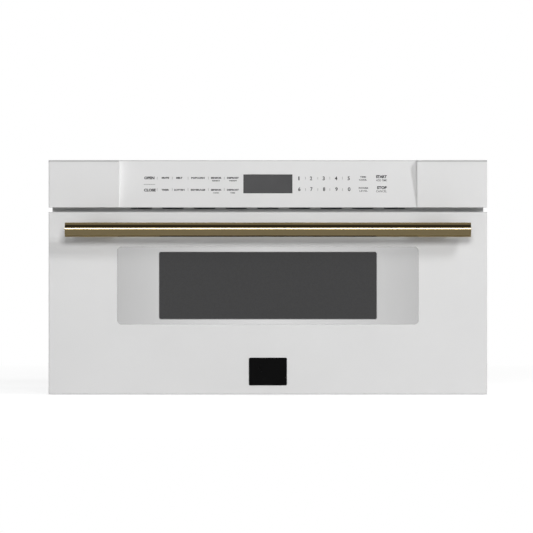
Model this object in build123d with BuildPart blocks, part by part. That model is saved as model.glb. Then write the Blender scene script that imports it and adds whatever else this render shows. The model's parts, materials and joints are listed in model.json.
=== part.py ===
from build123d import *
from math import acos, atan2, cos, degrees, pi, radians, sin, tan
import os

# Built-in drawer microwave of the 30-inch class: a boxed chassis behind a mounting frame, a fixed control
# fascia on top, and a motorised drawer whose front is the door. Millimetres, +Z up, the front faces -Y.
# The origin is the middle of the base pan's underside, the face that rests on the cabinet shelf.

# Oven cavity, from which the front and the chassis take their size
cavity_width = 456.0
cavity_height = 196.0
cavity_depth = 430.0
cavity_floor = 62.0
liner_sheet = 1.0
cavity_lip = 12.0
cavity_corner = 6.0

# Microwave choke round the mouth of the cavity
choke_offset = 6.0
choke_width = 23.0
choke_depth = 16.0
choke_cover_thickness = 2.0
choke_cover_lap = 1.5

# Room round the cavity in the chassis and on the front
slide_offset = 54.5
side_bay = 71.5
rear_bay = 149.0
door_top_margin = 15.0
door_drop = 14.0
face_gap = 8.0
fascia_height = 82.0
fascia_above_body = 24.0
frame_flange = 20.5
face_overhang = 5.5
door_gap = 3.0
door_thickness = 28.0
edge_radius = 2.0

# Chassis sheet metal
base_sheet = 1.2
cover_sheet = 0.8
cover_bend = 3.0
pan_lip = 14.0

# Stiffening beads pressed inwards into the cover and the rear panel
bead_width = 16.0
bead_depth = 1.6
bead_inset = 60.0
bead_count = 4
bead_side_pitch = 120.0
bead_rear_pitch = 90.0

# Mounting frame that lies on the cabinet face
frame_sheet = 1.5
frame_drop = 4.0
frame_top_inset = 6.0
screw_inset_side = 8.5
screw_inset_bottom = 52.0
screw_inset_top = 118.0
screw_hole_radius = 2.6

# Vent slots that show in the gap under the fascia
front_slot_count = 9
front_slot_pitch = 55.0
front_slot_length = 37.0
front_slot_height = 13.0
front_slot_low = 5.6
front_slot_radius = 2.0

# Drawer basin and its glass tray
basin_side_gap = 8.0
basin_floor_gap = 5.0
basin_headroom = 59.0
basin_rear_gap = 12.0
basin_sheet = 1.5
basin_corner = 10.0
basin_rim = 5.0
basin_tab = 10.0
basin_tab_inset = 8.0
tray_thickness = 5.0
tray_gap = 2.0

# Door sheet metal and window stack
skin_sheet = 1.2
inner_sheet = 1.0
window_width = 377.0
window_above_floor = 54.55
window_below_top = 25.25
window_corner = 3.0
trim_side = 72.5
trim_edge = 9.1
trim_corner = 7.0
trim_thickness = 3.0
trim_bevel = 1.2
trim_gap = 0.15
glass_thickness = 4.0
glass_lap = 7.0
carrier_border = 13.0
carrier_ledge = 2.0
collar_wall = 12.0
inner_glass_thickness = 3.0
inner_glass_lap = 8.0
screen_sheet = 0.5
fit_gap = 0.2

# Handle
handle_inset = 30.0
handle_diameter = 25.0
handle_standoff = 46.0
handle_below_top = 31.0
handle_chamfer = 0.8
post_inset = 63.0
post_width = 60.0
post_height = 16.0
post_hole_spacing = 36.0
post_hole_radius = 2.5

# Badge, bumpers and latch hooks on the door
badge_width = 66.0
badge_height = 48.0
badge_thickness = 1.2
badge_corner = 2.5
badge_above_bottom = 39.6
bumper_radius = 6.0
bumper_gap = 0.5
bumper_inset_x = 40.0
bumper_inset_z = 27.0
hook_offset = 27.5
hook_thickness = 4.0
hook_reach = 44.0
hook_height = 26.0
hook_below_top = 38.0
hook_nose = 9.0
hook_clearance = 4.0
switch_width = 10.0
housing_sheet = 1.2

# Control fascia
fascia_sheet = 1.5
fascia_end_width = 122.0
fascia_recess = 18.0
fascia_step = 2.5
display_width = 84.8
display_height = 33.2
display_thickness = 2.5
sensor_sheet = 0.8
sensor_inset_x = 17.0
sensor_inset_z = 12.0
board_thickness = 1.6
board_offset = 9.0
board_inset = 3.0
board_post_radius = 3.0
board_post_inset = 10.0
chip_size = 34.0
chip_height = 3.0

# Telescopic slides, one on each side of the cavity
slide_depth = 13.0
slide_height = 46.0
slide_above_floor = 38.0
slide_rear_reach = 14.0
slide_sheet = 1.2
slide_gap = 0.5
slide_lip = 1.6
slide_slot_gap = 3.0
travel_short_of_depth = 50.0
bracket_sheet = 1.5
bracket_foot = 20.0
bracket_holes = 4
bracket_hole_length = 74.0
bracket_hole_height = 50.0
arm_thickness = 2.0
arm_plate_width = 40.0
arm_length = 55.0

# Rack and pinion drive under the cavity
gear_module = 1.5
pinion_teeth = 18
pressure_angle = 20.0
gear_backlash = 0.3
gear_addendum = 0.95
gear_dedendum = 1.25
gear_width = 14.0
gear_low_z = 9.0
rack_pitch_x = 4.0
rack_back = 11.0
rack_spare = 70.0
rack_foot_width = 50.0
rack_foot_thickness = 2.4
pinion_behind_frame = 52.0
pinion_shaft_radius = 4.0
shaft_gap = 0.1
guide_gap = 0.4
guide_length = 50.0
guide_wall = 6.0
gearbox_width = 78.0
gearbox_depth = 62.0
gearbox_over_pinion = 4.0
gearbox_under_floor = 4.0
gearbox_end = 15.6
drive_plate = 2.0
drive_foot = 10.0
drive_motor_radius = 14.0
drive_motor_length = 58.0

# Stirrer under the cavity roof and waveguide on top of it
stirrer_radius = 92.0
stirrer_blade_width = 34.0
stirrer_sheet = 1.2
stirrer_drop = 10.0
stirrer_shaft_radius = 4.0
stirrer_hole_radius = 32.0
stirrer_cover_size = 250.0
stirrer_cover_corner = 18.0
stirrer_cover_drop = 22.0
stirrer_cover_sheet = 1.5
stirrer_motor_radius = 24.0
stirrer_motor_height = 22.0
waveguide_width = 84.0
waveguide_height = 42.0
waveguide_overrun = 50.0

# Magnetron below the rear end of the waveguide
magnetron_gap = 24.0
yoke_width = 92.0
yoke_depth = 80.0
yoke_height = 62.0
yoke_sheet = 1.6
magnet_radius = 27.0
magnet_height = 11.0
anode_radius = 18.0
antenna_radius = 9.0
antenna_height = 28.0
fin_count = 6
fin_sheet = 0.8
fin_width = 84.0
fin_depth = 62.0
filter_box_height = 30.0
filter_box_width = 70.0
filter_box_depth = 58.0

# Transformer and capacitor on the base pan behind the cavity
transformer_inset = 164.0
core_width = 110.0
core_depth = 75.0
core_height = 92.0
core_window_width = 20.0
core_window_height = 54.0
core_middle_leg = 35.0
coil_gap = 0.5
coil_overhang = 16.0
capacitor_inset = 59.0
capacitor_width = 52.0
capacitor_depth = 34.0
capacitor_height = 96.0
terminal_width = 7.0
terminal_height = 11.0
clamp_sheet = 1.0
clamp_height = 16.0

# Cooling fan that blows across the magnetron
fan_x = 95.0
fan_below_roof = 54.0
fan_radius = 58.0
fan_tip_gap = 3.0
fan_hub_radius = 13.0
fan_hub_length = 18.0
fan_blades = 5
fan_vane_sheet = 1.2
fan_shaft_radius = 3.0
shroud_sheet = 2.5
shroud_below_cover = 38.0
spider_post_radius = 5.0
spider_reach = 42.0
spider_width = 24.0
fan_motor_width = 56.0
fan_motor_height = 66.0
fan_motor_stack = 16.0
fan_coil_width = 30.0

# Small electrical pieces
filter_board_inset = 124.0
filter_board_width = 92.0
filter_board_depth = 70.0
filter_board_post = 6.0
filter_post_inset = 6.0
filter_can_width = 30.0
filter_can_depth = 36.0
filter_can_height = 34.0
filter_coil_width = 12.0
filter_coil_height = 17.0
bush_x = 290.0
bush_z = 70.0
bush_hole_radius = 11.0
bush_bore_radius = 5.0
bush_flange = 4.0
cutout_x = 84.0
cutout_radius = 9.0
cutout_height = 13.0
lamp_before_back = 80.0
lamp_below_top = 40.0
lamp_box = 46.0
lamp_box_depth = 34.0
bulb_radius = 11.0
bulb_neck_radius = 7.0
bulb_length = 28.0
duct_depth = 74.0
duct_height = 66.0
duct_sheet = 0.8

# Vent fields in the rear panel, the cover, the base and the cavity
vent_slot_width = 5.0
vent_slot_length = 34.0
vent_pitch_x = 42.0
vent_pitch_z = 13.0

# Widths and depths that follow from the cavity
slide_x = cavity_width / 2 + slide_offset
body_width = 2 * (slide_x + side_bay)
frame_width = body_width + 2 * frame_flange
face_width = frame_width + 2 * face_overhang
inside_width = body_width - 2 * cover_sheet
body_depth = cavity_depth + liner_sheet + rear_bay
y_cabinet = -body_depth / 2
y_rear = body_depth / 2
y_rear_inside = y_rear - cover_sheet
y_frame = y_cabinet - frame_sheet
y_door_back = y_frame - door_gap
y_face = y_door_back - door_thickness
y_cavity_back = y_cabinet + cavity_depth
y_cavity_outside = y_cavity_back + liner_sheet
rear_bay_y = (y_cavity_outside + y_rear_inside) / 2

# Heights that follow from the cavity
cavity_top = cavity_floor + cavity_height
cavity_mid_z = cavity_floor + cavity_height / 2
roof = cavity_top + liner_sheet
choke_low = cavity_floor - choke_offset - choke_width
choke_high = cavity_top + choke_offset + choke_width
z_door_bottom = -door_drop
z_door_top = choke_high + door_top_margin
door_height = z_door_top - z_door_bottom
door_mid_z = (z_door_bottom + z_door_top) / 2
z_fascia_bottom = z_door_top + face_gap
z_fascia_top = z_fascia_bottom + fascia_height
body_height = z_fascia_top - fascia_above_body
inside_top = body_height - cover_sheet
bead_length = cavity_depth - 2 * bead_inset
bead_rear_length = inside_top - 2 * bead_inset
bead_pitch = body_width / (bead_count + 1)
z_frame_bottom = -frame_drop
z_frame_top = z_fascia_top - frame_top_inset
screw_spacing_x = frame_width - 2 * screw_inset_side
screw_low_z = z_frame_bottom + screw_inset_bottom
screw_spacing_z = z_frame_top - screw_inset_top - screw_low_z

# Places of the drawer, the window and the handle
basin_width = cavity_width - 2 * basin_side_gap
basin_floor = cavity_floor + basin_floor_gap
basin_top = cavity_top - basin_headroom
basin_height = basin_top - basin_floor
basin_depth = y_cavity_back - basin_rear_gap - y_door_back
basin_mid_y = y_door_back + basin_depth / 2
window_height = cavity_height - window_above_floor - window_below_top
window_centre_z = cavity_floor + window_above_floor + window_height / 2
trim_width = window_width + 2 * trim_side
trim_height = window_height + 2 * trim_edge
y_trim_back = y_face + trim_thickness
y_glass_back = y_trim_back + glass_thickness
y_ledge_back = y_glass_back + carrier_ledge
y_screen_front = y_door_back - inner_sheet - inner_glass_thickness - screen_sheet
handle_length = face_width - 2 * handle_inset
post_spacing = handle_length - 2 * post_inset
y_handle = y_face - handle_standoff
z_handle = z_door_top - handle_below_top
badge_centre_z = z_door_bottom + badge_above_bottom
hook_x = slide_x + hook_offset
hook_z = cavity_top - hook_below_top

# Places of the slides, the drive and the electrical pieces
slide_low_z = cavity_floor + slide_above_floor
slide_high_z = slide_low_z + slide_height
slide_mid_z = slide_low_z + slide_height / 2
slide_length = cavity_depth + slide_rear_reach
y_slide_front = y_cabinet + liner_sheet
y_slide_back = y_slide_front + slide_length
y_slide_mid = y_slide_front + slide_length / 2
x_slide_inner = slide_x - slide_depth
drawer_travel = cavity_depth - travel_short_of_depth
gear_radius = gear_module * pinion_teeth / 2
gear_pitch = pi * gear_module
pinion_x = rack_pitch_x + gear_radius
pinion_y = y_cabinet + pinion_behind_frame
rack_length = drawer_travel + rack_spare
gearbox_low_z = gear_low_z + gear_width + gearbox_over_pinion
gearbox_height = cavity_floor - liner_sheet - gearbox_under_floor - gearbox_low_z
stirrer_y = y_cabinet + cavity_depth / 2
transformer_x = transformer_inset - body_width / 2
capacitor_x = capacitor_inset - body_width / 2
filter_board_x = body_width / 2 - filter_board_inset
magnetron_y = y_cavity_outside + magnetron_gap + yoke_depth / 2
waveguide_front = stirrer_y - waveguide_overrun
waveguide_back = magnetron_y + waveguide_overrun
fan_z = roof - fan_below_roof
shroud_top = inside_top - shroud_below_cover
lamp_y = y_cavity_back - lamp_before_back
lamp_z = cavity_top - lamp_below_top

os.makedirs("parts", exist_ok=True)


def facing_front(y):
    """Sketch plane at depth y with its normal towards the front; its axes are X and Z."""
    return Plane.XZ.offset(-y)


def save(piece, name):
    """Labels a finished piece and writes it to its own file."""
    piece.part.label = name
    export_step(piece.part, f"parts/{name}.step")


# Chassis: base pan with turned-up sides and back, open at the front
pan_depth = body_depth - cover_sheet
with BuildPart() as base_pan:
    with BuildSketch(Plane.XY):
        with Locations((0, -cover_sheet / 2)):
            Rectangle(inside_width, pan_depth)
    extrude(amount=pan_lip)
    pan_top = base_pan.faces().sort_by(Axis.Z)[-1]
    pan_front = base_pan.faces().sort_by(Axis.Y)[0]
    offset(amount=-base_sheet, openings=[pan_top, pan_front])
    with BuildSketch(Plane.XY):
        with Locations((-transformer_x, rear_bay_y), (transformer_x / 2, 0)):
            with GridLocations(vent_pitch_x, vent_pitch_z, 4, 4):
                Rectangle(vent_slot_length, vent_slot_width)
    extrude(amount=base_sheet, mode=Mode.SUBTRACT)
save(base_pan, "base_pan")

# Rear panel with a forward lip under the cover, the air grille and the hole for the cord bush
with BuildPart() as rear_panel:
    with BuildSketch(facing_front(y_rear)) as rear_outline:
        with Locations((0, inside_top / 2)):
            Rectangle(inside_width, inside_top)
        fillet(rear_outline.vertices().group_by(Axis.Y)[-1], cover_bend)
    extrude(amount=cover_sheet)
    with BuildSketch(facing_front(y_rear_inside)):
        with Locations((0, inside_top - cover_sheet / 2)):
            Rectangle(inside_width - 2 * cover_bend, cover_sheet)
    extrude(amount=pan_lip)
    with BuildSketch(facing_front(y_rear_inside)):
        with Locations((0, inside_top / 2)):
            with GridLocations(bead_rear_pitch, 1, 2, 1):
                SlotOverall(bead_rear_length, bead_width, rotation=90)
    extrude(amount=bead_depth)
    with BuildSketch(facing_front(y_rear)):
        with Locations((0, inside_top / 2)):
            with GridLocations(bead_rear_pitch, 1, 2, 1):
                SlotOverall(bead_rear_length - 2 * cover_sheet, bead_width - 2 * cover_sheet, rotation=90)
    extrude(amount=bead_depth, mode=Mode.SUBTRACT)
    with BuildSketch(facing_front(y_rear)):
        with Locations((filter_board_x - vent_slot_length, fan_z)):
            with GridLocations(vent_pitch_x, vent_pitch_z, 4, 9):
                Rectangle(vent_slot_length, vent_slot_width)
        with Locations((transformer_x, core_height)):
            with GridLocations(vent_pitch_x, vent_pitch_z, 4, 6):
                Rectangle(vent_slot_length, vent_slot_width)
        with Locations((bush_x, bush_z)):
            Circle(bush_hole_radius)
    extrude(amount=cover_sheet, mode=Mode.SUBTRACT)
save(rear_panel, "rear_panel")

# Outer cover: one sheet bent down over the top and both sides
with BuildPart() as wrap_cover:
    with BuildSketch(facing_front(y_rear)) as cover_profile:
        with Locations((0, body_height / 2)):
            Rectangle(body_width, body_height)
        fillet(cover_profile.vertices().group_by(Axis.Y)[-1], cover_bend)
        with BuildSketch(mode=Mode.SUBTRACT) as cover_inside:
            with Locations((0, inside_top / 2)):
                Rectangle(inside_width, inside_top)
            fillet(cover_inside.vertices().group_by(Axis.Y)[-1], cover_bend - cover_sheet)
    extrude(amount=body_depth)
    with BuildSketch(Plane.XY.offset(inside_top)):
        with Locations((0, stirrer_y)):
            with GridLocations(bead_pitch, 1, bead_count, 1):
                SlotOverall(bead_length, bead_width, rotation=90)
    extrude(amount=-bead_depth)
    with BuildSketch(Plane.XY.offset(body_height)):
        with Locations((0, stirrer_y)):
            with GridLocations(bead_pitch, 1, bead_count, 1):
                SlotOverall(bead_length - 2 * cover_sheet, bead_width - 2 * cover_sheet, rotation=90)
    extrude(amount=-bead_depth, mode=Mode.SUBTRACT)
    for side in (1, -1):
        with BuildSketch(Plane.YZ.offset(side * inside_width / 2)):
            with Locations((stirrer_y, body_height / 2)):
                with GridLocations(1, bead_side_pitch, 1, 2):
                    SlotOverall(bead_length, bead_width)
        extrude(amount=-side * bead_depth)
        with BuildSketch(Plane.YZ.offset(side * body_width / 2)):
            with Locations((stirrer_y, body_height / 2)):
                with GridLocations(1, bead_side_pitch, 1, 2):
                    SlotOverall(bead_length - 2 * cover_sheet, bead_width - 2 * cover_sheet)
        extrude(amount=-side * bead_depth, mode=Mode.SUBTRACT)
    with BuildSketch(Plane.XY.offset(body_height)):
        with Locations((-transformer_x, rear_bay_y), (transformer_x, rear_bay_y)):
            with GridLocations(vent_pitch_x, vent_pitch_z, 4, 4):
                Rectangle(vent_slot_length, vent_slot_width)
    extrude(amount=-cover_sheet, mode=Mode.SUBTRACT)
    with BuildSketch(Plane.YZ.offset(-body_width / 2)):
        with Locations((rear_bay_y, fan_z)):
            with GridLocations(vent_pitch_x, vent_pitch_z, 2, 6):
                Rectangle(vent_slot_length, vent_slot_width)
    extrude(amount=body_width, mode=Mode.SUBTRACT)
save(wrap_cover, "wrap_cover")

# Mounting frame: the flat plate on the cabinet face, open for the drawer, slides, rack, hooks and vents
slot_width = slide_depth + arm_thickness + 2 * slide_slot_gap
slot_height = slide_height + 2 * slide_slot_gap
slot_x = slide_x - (slide_depth + arm_thickness) / 2
rack_slot_left = rack_pitch_x - rack_back - slide_slot_gap
rack_slot_right = rack_pitch_x + gear_addendum * gear_module + slide_slot_gap
rack_slot_low = gear_low_z - slide_slot_gap
rack_slot_high = gear_low_z + gear_width + slide_slot_gap
with BuildPart() as mounting_frame:
    with BuildSketch(facing_front(y_cabinet)):
        with Locations((0, (z_frame_bottom + z_frame_top) / 2)):
            RectangleRounded(frame_width, z_frame_top - z_frame_bottom, cover_bend)
        with Locations((0, cavity_mid_z)):
            RectangleRounded(cavity_width, cavity_height, cavity_corner, mode=Mode.SUBTRACT)
        with Locations((slot_x, slide_mid_z), (-slot_x, slide_mid_z)):
            RectangleRounded(slot_width, slot_height, slide_slot_gap, mode=Mode.SUBTRACT)
        with Locations(((rack_slot_left + rack_slot_right) / 2, (rack_slot_low + rack_slot_high) / 2)):
            Rectangle(rack_slot_right - rack_slot_left, rack_slot_high - rack_slot_low, mode=Mode.SUBTRACT)
        with Locations((hook_x, hook_z), (-hook_x, hook_z)):
            Rectangle(
                hook_thickness + 2 * hook_clearance,
                hook_height + hook_nose + 2 * hook_clearance,
                mode=Mode.SUBTRACT,
            )
        with Locations((0, z_door_top + front_slot_low + front_slot_height / 2)):
            with GridLocations(front_slot_pitch, 1, front_slot_count, 1):
                RectangleRounded(front_slot_length, front_slot_height, front_slot_radius, mode=Mode.SUBTRACT)
        with Locations((0, screw_low_z + screw_spacing_z / 2)):
            with GridLocations(screw_spacing_x, screw_spacing_z, 2, 2):
                Circle(screw_hole_radius, mode=Mode.SUBTRACT)
    extrude(amount=frame_sheet)
save(mounting_frame, "mounting_frame")

# Oven cavity: a five-sided liner with an outward lip behind the mounting frame
with BuildPart() as oven_cavity:
    with BuildSketch(facing_front(y_cavity_outside)):
        with Locations((0, cavity_mid_z)):
            RectangleRounded(
                cavity_width + 2 * liner_sheet, cavity_height + 2 * liner_sheet, cavity_corner + liner_sheet
            )
    extrude(amount=cavity_depth + liner_sheet)
    with BuildSketch(facing_front(y_cabinet + liner_sheet)):
        with Locations((0, cavity_mid_z)):
            RectangleRounded(cavity_width + 2 * cavity_lip, cavity_height + 2 * cavity_lip, cavity_corner)
    extrude(amount=liner_sheet)
    with BuildSketch(facing_front(y_cavity_back)):
        with Locations((0, cavity_mid_z)):
            RectangleRounded(cavity_width, cavity_height, cavity_corner)
    extrude(amount=cavity_depth, mode=Mode.SUBTRACT)
    with BuildSketch(Plane.XY.offset(roof)):
        with Locations((0, stirrer_y)):
            Circle(stirrer_hole_radius)
        with Locations((0, y_cabinet + duct_depth / 2)):
            with GridLocations(vent_pitch_x, vent_pitch_z, 8, 3):
                Rectangle(vent_slot_length, vent_slot_width)
    extrude(amount=-liner_sheet, mode=Mode.SUBTRACT)
    with BuildSketch(Plane.YZ.offset(-cavity_width / 2 - liner_sheet)):
        with Locations((lamp_y, lamp_z)):
            with GridLocations(vent_pitch_z, vent_pitch_z, 3, 3):
                Rectangle(vent_slot_width, vent_slot_width)
    extrude(amount=liner_sheet, mode=Mode.SUBTRACT)
save(oven_cavity, "oven_cavity")

# Air duct from the cavity roof to the vent slots of the mounting frame
with BuildPart() as vent_duct:
    with BuildSketch(Plane.YZ.offset(-cavity_width / 2)):
        with BuildLine():
            Polyline(
                (y_slide_front, roof),
                (y_slide_front + duct_depth, roof),
                (y_slide_front + duct_depth, roof + duct_height / 2),
                (y_slide_front + duct_depth / 2, roof + duct_height),
                (y_slide_front, roof + duct_height),
                close=True,
            )
        make_face()
    extrude(amount=cavity_width)
    duct_open = [vent_duct.faces().sort_by(Axis.Z)[0], vent_duct.faces().sort_by(Axis.Y)[0]]
    offset(amount=-duct_sheet, openings=duct_open)
save(vent_duct, "vent_duct")

# Waveguide: a closed tube on the cavity roof, reaching back over the magnetron
with BuildPart() as waveguide:
    with BuildSketch(facing_front(waveguide_back)):
        with Locations((0, roof + waveguide_height / 2)):
            Rectangle(waveguide_width, waveguide_height)
            Rectangle(
                waveguide_width - 2 * liner_sheet, waveguide_height - 2 * liner_sheet, mode=Mode.SUBTRACT
            )
    extrude(amount=waveguide_back - waveguide_front)
    for y_end in (waveguide_back, waveguide_front + liner_sheet):
        with BuildSketch(facing_front(y_end)):
            with Locations((0, roof + waveguide_height / 2)):
                Rectangle(waveguide_width, waveguide_height)
        extrude(amount=liner_sheet)
    with BuildSketch(Plane.XY.offset(roof)):
        with Locations((0, stirrer_y)):
            Circle(stirrer_hole_radius)
        with Locations((0, magnetron_y)):
            Circle(antenna_radius + 2 * yoke_sheet)
    extrude(amount=liner_sheet, mode=Mode.SUBTRACT)
    with BuildSketch(Plane.XY.offset(roof + waveguide_height)):
        with Locations((0, stirrer_y)):
            Circle(2 * stirrer_shaft_radius)
    extrude(amount=-liner_sheet, mode=Mode.SUBTRACT)
save(waveguide, "waveguide")

# Stirrer motor on the waveguide, its shaft socket facing down
z_stirrer_motor = roof + waveguide_height
with BuildPart() as stirrer_motor:
    with BuildSketch(Plane.XY.offset(z_stirrer_motor)):
        with Locations((0, stirrer_y)):
            Circle(stirrer_motor_radius)
    extrude(amount=stirrer_motor_height)
    chamfer(stirrer_motor.edges().filter_by(GeomType.CIRCLE).sort_by(Axis.Z)[-1], edge_radius)
    with BuildSketch(Plane.XY.offset(z_stirrer_motor)):
        with Locations((0, stirrer_y)):
            SlotOverall(3 * stirrer_motor_radius, stirrer_motor_radius / 2)
    extrude(amount=liner_sheet)
    with BuildSketch(Plane.XY.offset(z_stirrer_motor)):
        with Locations((0, stirrer_y)):
            Circle(stirrer_shaft_radius + shaft_gap)
    extrude(amount=stirrer_motor_height / 2, mode=Mode.SUBTRACT)
save(stirrer_motor, "stirrer_motor")

# Stirrer: four bent paddles on a hub, with its shaft up into the motor
z_stirrer = cavity_top - stirrer_drop
with BuildPart() as stirrer_paddle:
    with BuildSketch(Plane.YZ):
        with BuildLine():
            Polyline(
                (-stirrer_blade_width / 2, -stirrer_drop / 2),
                (-stirrer_blade_width / 4, 0),
                (stirrer_blade_width / 4, 0),
                (stirrer_blade_width / 2, stirrer_drop / 2),
                (stirrer_blade_width / 2, stirrer_drop / 2 + stirrer_sheet),
                (stirrer_blade_width / 4, stirrer_sheet),
                (-stirrer_blade_width / 4, stirrer_sheet),
                (-stirrer_blade_width / 2, -stirrer_drop / 2 + stirrer_sheet),
                close=True,
            )
        make_face()
    extrude(amount=stirrer_radius)
    with BuildSketch(Plane.XY.offset(-stirrer_drop)):
        Circle(stirrer_radius)
    extrude(amount=2 * stirrer_drop, mode=Mode.INTERSECT)
with BuildPart(Plane.XY.offset(z_stirrer).shift_origin((0, stirrer_y, z_stirrer))) as stirrer_blade:
    Cylinder(2.5 * stirrer_shaft_radius, stirrer_drop, align=(Align.CENTER, Align.CENTER, Align.CENTER))
    with PolarLocations(0, 4):
        add(stirrer_paddle.part)
    Cylinder(
        stirrer_shaft_radius,
        z_stirrer_motor + stirrer_motor_height / 2 - shaft_gap - z_stirrer,
        align=(Align.CENTER, Align.CENTER, Align.MIN),
    )
save(stirrer_blade, "stirrer_blade")

# Dished cover under the stirrer, open towards the cavity roof
with BuildPart() as stirrer_cover:
    with BuildSketch(Plane.XY.offset(cavity_top)):
        with Locations((0, stirrer_y)):
            RectangleRounded(stirrer_cover_size, stirrer_cover_size, stirrer_cover_corner)
    extrude(amount=-stirrer_cover_drop)
    chamfer(stirrer_cover.faces().sort_by(Axis.Z)[0].edges(), cavity_corner)
    offset(amount=-stirrer_cover_sheet, openings=stirrer_cover.faces().sort_by(Axis.Z)[-1])
save(stirrer_cover, "stirrer_cover")

# Magnetron: steel yoke, ring magnets, cooling fins, tube with its antenna, and filter box
z_yoke = roof - yoke_height
with BuildPart() as magnetron_yoke:
    with BuildSketch(Plane.YZ.offset(-yoke_width / 2)):
        with Locations((magnetron_y, z_yoke + yoke_height / 2)):
            Rectangle(yoke_depth, yoke_height)
            Rectangle(yoke_depth - 2 * yoke_sheet, yoke_height - 2 * yoke_sheet, mode=Mode.SUBTRACT)
    extrude(amount=yoke_width)
    with BuildSketch(Plane.XY.offset(z_yoke)):
        with Locations((0, magnetron_y)):
            Circle(antenna_radius + yoke_sheet)
    extrude(amount=yoke_height, mode=Mode.SUBTRACT)
save(magnetron_yoke, "magnetron_yoke")

z_magnet_low = z_yoke + yoke_sheet
z_magnet_high = roof - yoke_sheet - magnet_height
with BuildPart() as magnetron_magnets:
    for z_magnet in (z_magnet_low, z_magnet_high):
        with BuildSketch(Plane.XY.offset(z_magnet)):
            with Locations((0, magnetron_y)):
                Circle(magnet_radius)
                Circle(antenna_radius + yoke_sheet, mode=Mode.SUBTRACT)
        extrude(amount=magnet_height)
save(magnetron_magnets, "magnetron_magnets")

z_anode_low = z_magnet_low + magnet_height
z_anode_high = z_magnet_high
with BuildPart() as magnetron_tube:
    with BuildSketch(Plane.XY.offset(z_anode_low)):
        with Locations((0, magnetron_y)):
            Circle(anode_radius)
    extrude(amount=z_anode_high - z_anode_low)
    with BuildSketch(Plane.XY.offset(z_yoke)):
        with Locations((0, magnetron_y)):
            Circle(antenna_radius)
    extrude(amount=yoke_height + antenna_height)
    chamfer(magnetron_tube.edges().sort_by(Axis.Z)[-1], antenna_radius / 2)
save(magnetron_tube, "magnetron_tube")

fin_pitch = (z_anode_high - z_anode_low) / fin_count
with BuildPart() as magnetron_fins:
    for i in range(fin_count):
        with BuildSketch(Plane.XY.offset(z_anode_low + (i + 0.5) * fin_pitch)):
            with Locations((0, magnetron_y)):
                Rectangle(fin_width, fin_depth)
                Circle(anode_radius, mode=Mode.SUBTRACT)
        extrude(amount=fin_sheet)
save(magnetron_fins, "magnetron_fins")

with BuildPart() as magnetron_filter_box:
    with BuildSketch(Plane.XY.offset(z_yoke)):
        with Locations((0, magnetron_y)):
            Rectangle(filter_box_width, filter_box_depth)
    extrude(amount=-filter_box_height)
    fillet(magnetron_filter_box.edges().filter_by(Axis.Z), edge_radius)
    with BuildSketch(facing_front(magnetron_y - filter_box_depth / 2)):
        with Locations((0, z_yoke - filter_box_height / 2)):
            Rectangle(filter_box_height, filter_box_height / 2)
    extrude(amount=filter_box_height / 2)
save(magnetron_filter_box, "magnetron_filter_box")

# High-voltage transformer: laminated core with two windows, and two coils round its middle leg
window_offset = (core_middle_leg + core_window_width) / 2
core_middle_z = base_sheet + core_height / 2
with BuildPart() as transformer_core:
    with BuildSketch(facing_front(rear_bay_y + core_depth / 2)):
        with Locations((transformer_x, core_middle_z)):
            Rectangle(core_width, core_height)
            with GridLocations(2 * window_offset, 1, 2, 1):
                Rectangle(core_window_width, core_window_height, mode=Mode.SUBTRACT)
    extrude(amount=core_depth)
save(transformer_core, "transformer_core")

coil_outside_x = core_middle_leg + 2 * core_window_width - 2 * coil_gap
coil_height = (core_window_height - 3 * coil_gap) / 2
with BuildPart() as transformer_coils:
    for z_coil in (
        core_middle_z - coil_gap / 2 - coil_height,
        core_middle_z + coil_gap / 2,
    ):
        with BuildSketch(Plane.XY.offset(z_coil)):
            with Locations((transformer_x, rear_bay_y)):
                RectangleRounded(coil_outside_x, core_depth + 2 * coil_overhang, coil_overhang - coil_gap)
                Rectangle(core_middle_leg + 2 * coil_gap, core_depth + 2 * coil_gap, mode=Mode.SUBTRACT)
        extrude(amount=coil_height)
save(transformer_coils, "transformer_coils")

# High-voltage capacitor: an oval can with two terminals, held by a strap with a foot
with BuildPart() as hv_capacitor:
    with BuildSketch(Plane.XY.offset(base_sheet)):
        with Locations((capacitor_x, rear_bay_y)):
            SlotOverall(capacitor_width, capacitor_depth)
    extrude(amount=capacitor_height)
    with BuildSketch(Plane.XY.offset(base_sheet + capacitor_height)):
        with Locations((capacitor_x, rear_bay_y)):
            with GridLocations(capacitor_width / 2, 1, 2, 1):
                Rectangle(cover_sheet, terminal_width)
    extrude(amount=terminal_height)
save(hv_capacitor, "hv_capacitor")

with BuildPart() as capacitor_clamp:
    with BuildSketch(Plane.XY.offset(base_sheet)):
        with Locations((capacitor_x, rear_bay_y)):
            SlotOverall(capacitor_width + 2 * clamp_sheet, capacitor_depth + 2 * clamp_sheet)
            SlotOverall(capacitor_width, capacitor_depth, mode=Mode.SUBTRACT)
    extrude(amount=clamp_height)
    with BuildSketch(Plane.XY.offset(base_sheet)):
        with Locations((capacitor_x, rear_bay_y - capacitor_depth / 2 - clamp_height / 2)):
            Rectangle(clamp_height, clamp_height)
            Circle(screw_hole_radius, mode=Mode.SUBTRACT)
    extrude(amount=clamp_sheet)
save(capacitor_clamp, "capacitor_clamp")

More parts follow.
